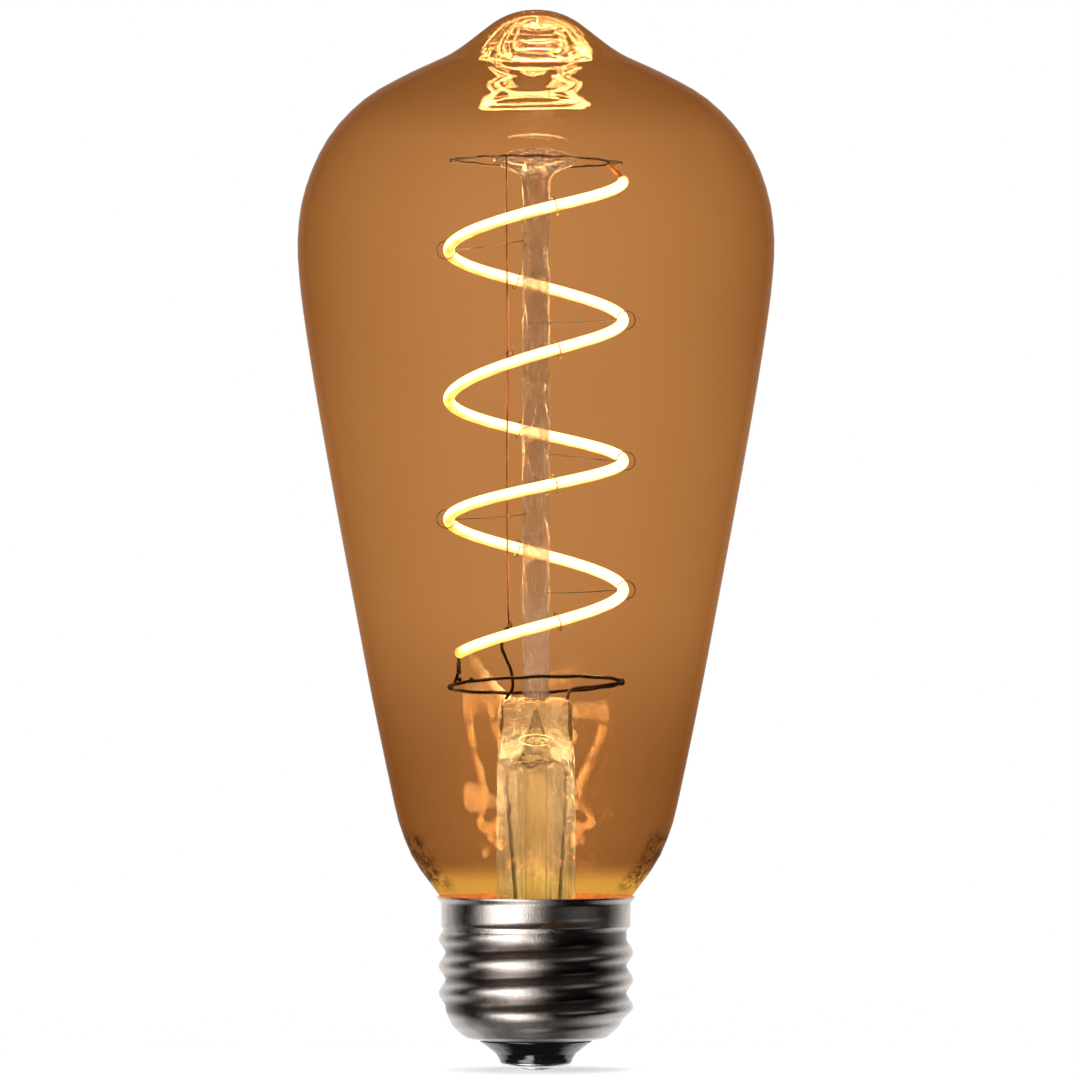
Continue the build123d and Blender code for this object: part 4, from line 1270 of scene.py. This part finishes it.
@dataclass
class Mount(SubAssembly):
    """The glass mount: stem with its press and exhaust tube, and the rod with its button. Sizes in mm."""

    segments: int = 96
    rod_radius: float = 1.85
    rod_foot: float = 49.4
    button_z: float = 121.9
    button_radius: float = 5.8
    seams: Sequence[float] = (56.1, 92.3)
    least: float = 0.02
    outside: Sequence[tuple[float, float, float, float]] = (
        # half width, half depth, height, squareness
        (10.4, 10.4, 16.0, 2.0), (10.4, 10.4, 16.85, 2.0), (8.2, 8.2, 17.5, 2.0), (6.6, 6.6, 18.8, 2.0),
        (5.7, 5.7, 20.6, 2.0), (5.35, 5.35, 22.5, 2.0), (5.3, 5.3, 30.0, 2.0), (5.25, 5.25, 38.0, 2.0),
        (5.15, 5.1, 41.8, 2.0), (5.0, 4.3, 43.4, 2.2), (4.95, 3.1, 44.9, 2.6), (5.0, 2.6, 46.2, 3.0),
        (5.0, 2.55, 47.6, 3.2), (4.95, 2.5, 48.6, 3.2), (4.6, 2.3, 49.4, 3.0), (3.7, 1.9, 49.85, 2.6),
        (2.2, 1.3, 50.0, 2.2), (0.0, 0.0, 50.0, 2.0),
    )
    inside: Sequence[tuple[float, float]] = (
        (9.6, 16.0), (7.6, 16.9), (6.0, 17.9), (4.9, 19.6), (4.45, 22.0), (4.3, 30.0), (4.3, 38.5),
        (4.2, 40.2), (3.6, 41.2), (2.7, 41.45), (2.15, 40.9), (2.1, 38.0), (2.1, 26.0), (2.1, 16.5),
        (1.9, 14.4), (1.7, 14.0), (1.45, 14.4), (1.45, 20.0), (1.45, 42.6), (1.3, 44.2), (0.75, 46.6),
        (0.2, 48.2), (0.0, 48.4),
    )

    def ring_at(self, width: float, depth: float, height: float, square: float) -> np.ndarray:
        """One ring of a rounded-square section with a slight wobble higher up, in metres."""
        if not width:
            return np.array([[0.0, 0.0, height * MM]])
        angle, power = circle(self.segments), 2.0 / square
        cos, sin = np.cos(angle), np.sin(angle)
        wobble = 1.0 + 0.012 * np.sin(3 * angle + height * 1.7) * min(1.0, max(0.0, (height - 22.0) / 16.0))
        x = width * np.sign(cos) * np.abs(cos) ** power
        y = depth * np.sign(sin) * np.abs(sin) ** power
        return np.stack([x * wobble, y * wobble, np.full(self.segments, height)], axis=1) * MM

    def stem(self) -> None:
        """Builds the stem, whose inner wall runs on into the exhaust tube and its bore."""
        outer = smooth_line(self.outside, 0.35)
        inner = smooth_line(self.inside, 0.3)
        rings = [
            self.ring_at(max(w, self.least), max(d, self.least), z, max(2.0, s)) for w, d, z, s in outer[:-1]
        ]
        rings.append(self.ring_at(0.0, 0.0, outer[-1, 2], 2.0))
        angle = circle(self.segments)
        waves = []
        for r, z in inner[:-1]:
            ripple = 0.22 * max(0.0, 1 - abs(z - 41.6) / 2.2) if r > 2.3 else 0.0
            lift = ripple * (np.sin(5 * angle + 0.6) + 0.6 * np.sin(9 * angle + 2.1))
            waves.append(np.stack([r * np.cos(angle), r * np.sin(angle), z + lift], axis=1) * MM)
        waves.append(np.array([[0.0, 0.0, inner[-1, 1] * MM]]))
        mesh = ringed("stem", [*reversed(rings), *waves])
        self.hand_over(piece("stem", mesh, Finishes.stem), "stem_glass", "stem_glass", "exhaust_tube")

    def rod(self) -> None:
        """Builds the rod, drawn a little unevenly, with the two seams where it was joined."""
        r, b, z = self.rod_radius, self.button_radius, self.button_z
        shaft = [(0.0, self.rod_foot), (r * 0.9, self.rod_foot)]
        for h in np.arange(self.rod_foot + 0.5, z - 3.4, 0.5):
            seam = sum(math.exp(-(((h - s) / 0.45) ** 2)) for s in self.seams)
            shaft.append((r * (0.985 + 0.012 * math.sin(h * 0.9)) - 0.16 * seam, h))
        button = [
            (r, z - 2.9), (r * 1.06, z - 2.3), (r * 1.35, z - 1.7), (r * 2.1, z - 1.0), (b * 0.93, z - 0.35),
            (b, z), (b * 0.95, z + 0.35), (b * 0.8, z + 0.85), (b * 0.55, z + 1.4), (b * 0.28, z + 1.72),
            (0.0, z + 1.8),
        ]
        crown = smooth_line(button, 0.25)
        crown[-1, 0] = 0.0
        profile = np.vstack([shaft, crown]) * MM
        self.turned("rod", profile, self.segments, Finishes.rod, "rod_glass", "glass_rod", closed=False)

    def build(self) -> None:
        """Builds the stem and the rod."""
        self.stem()
        self.rod()


@dataclass(frozen=True)
class Run:
    """A run of wire: the CAD node it stands for, its look and its routes. Sizes in mm."""

    name: str
    node: str
    slot: str
    finish: Finish
    diameter: float
    routes: tuple[tuple[Point, ...], ...]


@dataclass
class Wiring(SubAssembly):
    """The rings, leads and welds inside the bulb, sizes in mm."""

    ring_radius: float = 11.5
    bend: float = 0.05
    wire_sides: int = 14

    def bows(
        self, height: float, depth: float, front_rise: float, right_rise: float
    ) -> tuple[tuple[Point, ...], ...]:
        """The front and back bows of a hand-bent ring.

        Args:
            height: the ring's middle height.
            depth: how far the bows reach to the front and back.
            front_rise: how much higher the front is than the middle.
            right_rise: how much higher the right end is than the middle.

        Returns:
            The two routes.
        """
        reach = (self.ring_radius**2 + depth**2) / (2 * depth)
        span = math.asin(min(1.0, self.ring_radius / reach))
        routes = []
        for side in (-1, 1):
            route = []
            for i, t in enumerate(np.linspace(-span, span, 19)):
                x, y = reach * math.sin(t), side * (reach * math.cos(t) - (reach - depth))
                z = height - side * front_rise * abs(y) / depth + right_rise * x / self.ring_radius
                route.append((x, y, z + self.bend * math.sin(2.3 * i + side)))
            routes.append(tuple(route))
        return tuple(routes)

    def runs(self) -> tuple[Run, ...]:
        """Every run of wire."""
        return (
            Run("lower_ring_wire", "lower_ring", "nickel_wire", Finishes.nickel, 0.48,
                self.bows(51.7, 11.5, 1.2, 0.35)),
            Run("top_ring_wire", "top_ring", "nickel_wire", Finishes.ring, 0.34,
                self.bows(121.9, 5.35, 0.6, -0.2)),
            Run("filament_post_wire", "filament_post", "nickel_wire", Finishes.nickel, 0.42,
                (((-10.9, -3.0, 51.9), (-10.75, -4.4, 52.3), (-10.4, -5.2, 53.4), (-10.3, -5.4, 55.4)),)),
            Run("right_lead", "nickel_lead_right", "nickel_wire", Finishes.nickel, 0.45,
                (((4.1, 0.0, 49.2), (4.2, 0.05, 50.0), (4.6, 0.7, 50.9), (5.9, 2.1, 51.3), (8.2, 2.9, 51.5),
                  (11.3, 1.4, 51.95)),)),
            Run("left_lead", "nickel_lead_left", "nickel_wire", Finishes.nickel, 0.45,
                (((-4.1, 0.0, 49.2), (-3.9, 0.0, 50.1), (-3.2, -0.5, 51.0), (-3.3, -0.95, 53.4),
                  (-4.0, -1.6, 55.2), (-4.6, -2.0, 57.0), (-3.7, -1.6, 59.4)),)),
            Run("return_wire_run", "return_wire", "bronze_wire", Finishes.bronze, 0.25,
                (((-3.65, -1.55, 59.6), (-3.8, -1.0, 66.0), (-3.9, -0.8, 80.0), (-3.8, -0.8, 95.0),
                  (-3.85, -1.3, 104.0), (-3.95, -3.0, 113.0), (-3.95, -4.75, 122.3)),
                 ((-3.8, -0.8, 95.6), (-3.1, -0.9, 95.9), (-3.3, -1.1, 96.6), (-4.0, -0.9, 96.1)),
                 ((-4.1, -0.9, 77.2), (-3.7, -1.1, 77.7), (-4.1, -0.9, 78.3)),
                 ((-4.2, -1.5, 59.2), (-3.2, -1.7, 59.7), (-3.7, -1.5, 60.3)))),
            Run("left_seal", "seal_wire_left", "sealing_wire", Finishes.sealing, 0.42,
                (((-4.1, 0.0, 49.2), (-4.15, 0.0, 45.0), (-4.1, 0.0, 39.9)),)),
            Run("right_seal", "seal_wire_right", "sealing_wire", Finishes.sealing, 0.42,
                (((4.1, 0.0, 49.2), (4.05, 0.0, 45.0), (4.1, 0.0, 39.9)),)),
            Run("left_copper", "copper_lead_left", "copper_wire", Finishes.copper, 0.45,
                (((-4.1, 0.0, 41.6), (-4.1, 0.0, 39.7), (-3.5, -1.0, 34.0), (-2.9, -1.8, 27.0),
                  (-2.5, -2.4, 20.0), (-2.6, -3.0, 9.8)),)),
            Run("right_copper", "copper_lead_right", "copper_wire", Finishes.copper, 0.45,
                (((4.1, 0.0, 41.6), (4.1, 0.0, 39.7), (3.8, -0.9, 34.0), (3.3, -1.7, 28.0), (2.9, -2.4, 20.0),
                  (2.9, -3.0, 9.8)),)),
            Run("top_tab", "filament_tab_top", "nickel_wire", Finishes.tab, 0.7,
                (((11.75, -0.1, 119.7), (11.0, -0.7, 120.3), (9.7, -1.8, 121.6)),)),
        )

    def build(self) -> None:
        """Builds every run of wire, the weld beads and the end clip."""
        wire = wire_tree()
        for run in self.runs():
            thin = run.diameter / 2
            lines = [even_line(smooth_line(route, 0.12), 0.35, thin) * MM for route in run.routes]
            made = wire.run(
                lines_mesh(run.name, lines), run.name, run.finish, Radius=thin * MM, Sides=self.wire_sides
            )
            self.hand_over(made, run.slot, run.node)
        for name, node, finish, beads in self.beads():
            self.hand_over(self.lumps(name, beads, finish), "nickel_wire", node)
        self.hand_over(self.clip(), "nickel_wire", "filament_tab_bottom")

    def beads(self) -> tuple[tuple[str, str, Finish, Sequence[tuple[Point, float, float]]], ...]:
        """The weld beads: piece, CAD node, finish, and the place, radius and half height of each in mm."""
        return (
            ("lead_weld_beads", "lead_welds", Finishes.copper,
             (((-4.1, 0.0, 39.8), 0.42, 0.5), ((4.1, 0.0, 39.8), 0.42, 0.5))),
            ("lower_ring_knots", "lower_ring", Finishes.nickel,
             (((-11.5, 0.0, 51.35), 0.42, 0.4), ((11.5, 0.0, 52.05), 0.48, 0.5),
              ((11.0, 1.3, 51.95), 0.36, 0.34), ((-10.2, -5.2, 52.45), 0.34, 0.3),
              ((-8.6, -7.4, 52.5), 0.3, 0.3))),
            ("top_ring_knots", "top_ring", Finishes.ring,
             (((-11.3, 0.0, 122.05), 0.34, 0.3), ((-3.95, -4.8, 122.4), 0.22, 0.24),
              ((9.7, -1.8, 121.75), 0.28, 0.24))),
        )

    def lumps(
        self, name: str, beads: Sequence[tuple[Point, float, float]], finish: Finish
    ) -> bpy.types.Object:
        """Small uneven beads of weld metal, as one piece."""
        rows = 9
        turn = circle(16)
        points, faces = [], []
        for index, ((x, y, z), radius, half) in enumerate(beads):
            rings = [np.array([[x, y, z - half]])]
            for lift in math.pi * (np.arange(rows) + 0.5) / rows:
                r = radius * math.sin(lift) * (1 + 0.13 * np.sin(2 * turn + index) * math.sin(3 * lift))
                level = np.full(len(turn), z - half * math.cos(lift))
                rings.append(np.stack([x + r * np.cos(turn), y + r * np.sin(turn), level], axis=1))
            rings.append(np.array([[x, y, z + half]]))
            faces += ring_faces(rings, start=sum(map(len, points)))
            points += rings
        mesh = new_mesh(name, np.vstack(points) * MM, faces)
        turn_out(mesh)
        return piece(name, mesh, finish)

    def clip(self) -> bpy.types.Object:
        """The clip on the filament's lower end: a folded strip, pinched at every second ring."""
        angle, lean = circle(16), math.radians(25)
        rings = []
        for i, z in enumerate(np.linspace(53.2, 54.8, 13)):
            pinch = 0.05 * math.cos(i * math.pi / 2)
            x = (0.28 + pinch) * np.sign(np.cos(angle)) * np.abs(np.cos(angle)) ** 0.6
            y = (0.36 + pinch) * np.sign(np.sin(angle)) * np.abs(np.sin(angle)) ** 0.6
            c, s = math.cos(lean), math.sin(lean)
            rings.append(np.stack([-10.3 + c * x - s * y, -5.5 + s * x + c * y, np.full(16, z)], axis=1) * MM)
        rings = [rings[0].mean(0)[None], *rings, rings[-1].mean(0)[None]]
        return piece("end_clip", ringed("end_clip", rings), Finishes.nickel)


@dataclass
class ScrewCap(SubAssembly):
    """The cap: threaded shell, cement, black glass insulator and centre contact. Sizes in mm."""

    pitch: float = 3.629
    root: float = 12.15
    crest: float = 13.05
    first_crest: float = 7.6
    turns: float = 3.0
    runout: float = 0.75
    sheet: float = 0.3
    skirt: float = 12.75
    rim: float = 13.4
    segments: int = 240

    def shell(self) -> None:
        """Builds the threaded shell: a turned sleeve with the thread rolled into it."""
        t = self.sheet
        outer = [
            (7.0, 3.95, 0.0), (7.6, 3.97, 0.2), (9.5, 4.35, 1.6), (11.25, 5.9, 2.4), (self.root, 8.0, 2.0),
            (self.root, 18.75, 0.35), (self.skirt - 0.05, 19.3, 0.3), (self.skirt, 22.45, 0.7),
            (self.rim - 0.12, 23.05, 0.3), (self.rim - 0.04, 23.3, 0.0),
        ]
        inner = [
            (self.rim - t - 0.02, 23.3, 0.0), (self.rim - t - 0.08, 23.15, 0.2), (self.skirt - t, 22.55, 0.5),
            (self.skirt - t, 19.5, 0.3), (self.root - t, 18.95, 0.3), (self.root - t, 8.1, 1.8),
            (11.25 - t, 6.1, 2.2), (9.4, 4.65, 1.4), (7.6, 4.27, 0.2), (7.0, 4.25, 0.0),
        ]
        profile = divided(rounded_profile(outer), 0.14 * MM) + divided(rounded_profile(inner), 0.22 * MM)
        sleeve = lathe("shell", profile, self.segments, closed=True)
        last = self.first_crest + self.turns * self.pitch
        made = thread_tree().run(
            sleeve, "threaded_shell", Finishes.cap, Pitch=self.pitch * MM,
            Height=(self.crest - self.root) * MM, First=self.first_crest * MM, Last=last * MM,
            Runout=self.runout * MM,
        )
        self.hand_over(made, "cap_nickel", "screw_shell")

    def cement(self) -> None:
        """Builds the cement between the shell and the bulb's neck, with crumbs along its edge."""
        corners = [
            (11.55, 19.6, 0.0), (12.45, 19.6, 0.1), (12.45, 22.6, 0.3), (13.05, 23.25, 0.15),
            (12.95, 23.3, 0.1), (12.75, 23.3, 0.1), (12.3, 22.7, 0.4), (11.7, 21.3, 0.4), (11.5, 20.2, 0.1),
        ]
        self.turned(
            "cement_bead", rounded_profile(corners, 0.15), 160, Finishes.cement, "cement", "cap_cement"
        )
        edge = lathe_rings([(12.92 * MM, 23.17 * MM), (13.1 * MM, 23.20 * MM)], 96)
        rim = new_mesh("rim", np.vstack(edge), ring_faces(edge))
        crumbs = crumb_tree().run(
            rim, "cement_crumbs", Finishes.cement, Count=6000000, Size=0.12 * MM, Seed=7
        )
        self.hand_over(crumbs, "cement", "cap_cement")

    def base(self) -> None:
        """Builds the black glass, the contact plate and its solder."""
        glass = [
            (1.2, 0.97, 0.0), (4.8, 0.97, 0.15), (4.98, 1.5, 0.4), (5.45, 2.2, 0.9), (6.5, 3.05, 0.9),
            (7.65, 3.9, 0.1), (7.0, 3.97, 0.05), (7.0, 4.25, 0.1), (8.0, 4.5, 0.2), (8.0, 5.8, 0.3),
            (1.2, 5.8, 0.0),
        ]
        self.turned(
            "insulator", rounded_profile(glass, 0.12), 160, Finishes.black_glass, "black_glass",
            "base_insulator",
        )
        plate = [
            (0.85, 0.3, 0.0), (2.4, 0.3, 0.2), (3.6, 0.42, 0.8), (4.45, 0.66, 0.3), (4.75, 0.95, 0.06),
            (1.2, 0.96, 0.1), (1.2, 3.4, 0.1), (0.85, 3.4, 0.0),
        ]
        self.turned(
            "contact_cup", rounded_profile(plate, 0.1), 128, Finishes.contact, "contact_metal",
            "contact_plate",
        )
        pip = smooth_line([(1.6, 0.0), (2.0, 0.05), (2.3, 0.18), (2.4, 0.3)], 0.08)
        profile = np.vstack([[(0.0, 0.0), (0.8, 0.0)], pip, [(0.85, 0.31), (0.85, 1.6), (0.0, 1.6)]]) * MM
        self.turned("solder_pip", profile, 96, Finishes.solder, "solder", "contact_solder", closed=False)

    def build(self) -> None:
        """Builds the whole cap."""
        self.shell()
        self.cement()
        self.base()


@dataclass
class Electronics(SubAssembly):
    """The pieces hidden in the cap and the filament, which keep their CAD shape and get their finish here."""

    finishes: Mapping[str, Finish] = field(
        default_factory=lambda: {
            "filament_strip": Finishes.carrier,
            "led_chips": Finishes.dice,
            "cap_liner": Finishes.liner,
            "driver_board": Finishes.board,
            "radio_board": Finishes.radio_board,
            "driver_chip": Finishes.moulding,
            "bridge_rectifier": Finishes.moulding,
            "freewheel_diode": Finishes.moulding,
            "radio_chip": Finishes.moulding,
            "capacitor_can": Finishes.can,
            "capacitor_bung": Finishes.bung,
            "choke_core": Finishes.ferrite,
            "choke_winding": Finishes.winding,
            "fuse_resistor": Finishes.fuse,
            "film_capacitor": Finishes.film_box,
            "ceramic_capacitors": Finishes.chip_ceramic,
            "radio_antenna": Finishes.chip_ceramic,
            "sense_resistors": Finishes.resistor,
            "radio_shield": Finishes.shield,
            "radio_pins": Finishes.pins,
            "live_wire": Finishes.copper,
            "neutral_wire": Finishes.copper,
        }
    )
    nodes: Mapping[str, bpy.types.Object] = field(default_factory=dict)

    def build(self) -> None:
        """Dresses every CAD node that stays."""
        for name, finish in self.finishes.items():
            shown = self.nodes[name]
            shown.data.materials.clear()
            shown.data.materials.append(finish.material())
            LOG.info("%s keeps its shape, in %s", name, finish.name)


# ---------------------------------------------------------------- studio
class Side(Enum):
    """Where a lamp of the studio stands, seen from the camera."""

    LEFT = (-0.55, -0.75, 0.42)
    RIGHT = (0.75, -0.45, 0.25)
    ABOVE = (0.0, 0.1, 0.95)


@dataclass
class Studio:
    """A white sweep lit from behind, dark in front but for one soft box, and the camera. Sizes in metres."""

    camera_distance: float = 1.5
    sensor: float = 36.0
    picture_width: float = 0.14494
    camera_x: float = 0.00054
    camera_z: float = 0.0711
    floor_size: float = 12.0
    floor_z: float = -0.00003
    soft_box: float = 5.6
    strip_light: float = 0.07
    back_wall: float = 1.2
    ground: float = 0.25
    gloom: float = 0.010
    within_glass: float = 0.55
    for_matt: float = 0.95
    lamp_size: float = 0.5
    glow_size: float = 0.004
    glow_colour: Colour = (1.0, 0.93, 0.80)
    glows: Sequence[tuple[float, float, float, float]] = (
        (-0.013, -0.005, 0.038, 0.034), (0.013, -0.005, 0.038, 0.034), (0.0, 0.013, 0.040, 0.040),
        (0.0, 0.0033, 0.0272, 0.003),
    )
    powers: Mapping[Side, float] = field(
        default_factory=lambda: {Side.LEFT: 3.0, Side.RIGHT: 1.0, Side.ABOVE: 2.5}
    )

    def shine(self, g: Graph) -> tuple[Link, Link]:
        """How bright the studio is by direction, in degrees.

        Args:
            g: the world's graph.

        Returns:
            The brightness for what shines, and for what is seen through solid glass.
        """
        x, y, z = g.axes(g.node("ShaderNodeTexCoord", output="Generated"))
        turn = x.does("ARCTAN2", y * -1.0) * (180 / math.pi)
        lift = z.does("ARCSINE") * (180 / math.pi)
        box = turn.step(-70, -44) * turn.step(-6, -26) * lift.step(-88, -70) * lift.step(46, 26)
        strip = turn.step(20, 34) * turn.step(60, 46) * lift.step(-20, 0) * lift.step(60, 30)
        back = abs(turn).step(118, 130) * lift.step(-60, -40)
        lit = self.gloom + box * self.soft_box + strip * self.strip_light + back * self.back_wall
        return lit + lift.step(-78, -88) * self.ground, abs(lift).step(75, 20) * 1.9 + 0.2

    def world(self) -> None:
        """The studio round the lamp: what the eye sees is white, what shines sees the soft box."""
        world = bpy.data.worlds.new("studio")
        world.use_nodes = True
        bpy.context.scene.world = world
        g = Graph(world.node_tree)
        studio, bent = self.shine(g)
        inside = g.path("Transparent Depth").does("MINIMUM", 1.0)
        shine = inside * self.within_glass + (1.0 - inside) * studio
        seen, glossy, through = map(g.path, ("Is Camera Ray", "Is Glossy Ray", "Is Transmission Ray"))
        level = glossy * shine + (1.0 - glossy) * (through * bent + (1.0 - through) * self.for_matt)
        level = seen + (1.0 - seen) * level
        background = g.node("ShaderNodeBackground", None, {"Color": (1.0, 1.0, 1.0), "Strength": level})
        g.node("ShaderNodeOutputWorld", None, {"Surface": background})

    def floor(self) -> None:
        """A pale floor that fades into the white sweep a little way out, clear from below."""
        half, z = self.floor_size / 2, self.floor_z
        square = np.array([(-half, -half, z), (half, -half, z), (half, half, z), (-half, half, z)])
        mesh = new_mesh("floor", square, [(0, 1, 2, 3)])
        g = Material("floor_paper")
        x, y, _ = g.axes(g.place())
        near = from_axis(x, y).step(0.085, 0.03)
        white, soft = (g.shader("Emission", (1.0, 1.0, 1.0), Strength=level) for level in (1.0, 0.45))
        lit = g.node("ShaderNodeAddShader", None, {0: g.shader("Diffuse", (0.6, 0.6, 0.6)), 1: soft})
        clear = g.node("ShaderNodeBsdfTransparent")
        g.finish(g.mixed(g.backfacing(), g.mixed(near, white, lit), clear))
        floor = piece("floor", mesh)
        floor.visible_glossy = False
        mesh.materials.append(g.made)

    def hang(self, lamp: bpy.types.Light, place: Sequence[float]) -> bpy.types.Object:
        """Puts a lamp in the studio, where only matt surfaces feel it."""
        holder = bpy.data.objects.new(lamp.name, lamp)
        holder.location = place
        holder.visible_glossy = holder.visible_transmission = holder.visible_camera = False
        bpy.context.scene.collection.objects.link(holder)
        return holder

    def lights(self) -> None:
        """Soft lamps, which light what is matt and leave the shine to the studio round it."""
        for side, power in self.powers.items():
            lamp = bpy.data.lights.new(side.name.lower(), "AREA")
            lamp.shape, lamp.size, lamp.energy = "DISK", self.lamp_size, power
            holder = self.hang(lamp, side.value)
            aim = Vector((0, 0, 0.06)) - holder.location
            holder.rotation_euler = aim.to_track_quat("-Z", "Y").to_euler()

    def glow(self) -> None:
        """The filament's light on the stem: soft lamps close to it, which can't be seen."""
        for x, y, z, power in self.glows:
            lamp = bpy.data.lights.new("glow", "POINT")
            lamp.shadow_soft_size, lamp.energy, lamp.color = self.glow_size, power, self.glow_colour
            self.hang(lamp, (x, y, z))

    def camera(self) -> None:
        """A long lens straight in front, at the lamp's middle height."""
        data = bpy.data.cameras.new("camera")
        data.sensor_width = self.sensor
        data.lens = self.sensor * self.camera_distance / self.picture_width
        data.clip_start, data.clip_end = 0.01, 50.0
        holder = bpy.data.objects.new("camera", data)
        holder.location = (self.camera_x, -self.camera_distance, self.camera_z)
        holder.rotation_euler = (math.pi / 2, 0.0, 0.0)
        bpy.context.scene.collection.objects.link(holder)
        bpy.context.scene.camera = holder

    def build(self) -> None:
        """Sets the studio up."""
        scene = bpy.context.scene
        scene.view_settings.view_transform = "Standard"
        for name, value in (
            ("max_bounces", 24), ("transmission_bounces", 16), ("glossy_bounces", 6), ("diffuse_bounces", 3),
            ("transparent_max_bounces", 48), ("caustics_refractive", False), ("sample_clamp_indirect", 32.0),
        ):
            setattr(scene.cycles, name, value)
        self.world()
        self.floor()
        self.lights()
        self.glow()
        self.camera()


def corners(box: Sequence[Vector]) -> list[list[float]]:
    """A box as plain lists of numbers."""
    return [[float(n) for n in corner] for corner in box]


def main() -> None:
    """Loads the frame and builds the lamp and its studio."""
    logging.basicConfig(level=logging.INFO, format="%(name)s: %(message)s")
    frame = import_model()
    groups: list[SubAssembly] = [
        Bulb(), Filament(), Mount(), Wiring(), ScrewCap(), Electronics(nodes=frame["nodes"]),
    ]
    for group in groups:
        LOG.info("building %s", type(group).__name__)
        group.build()
    Studio().build()


if __name__ == "__main__":
    main()
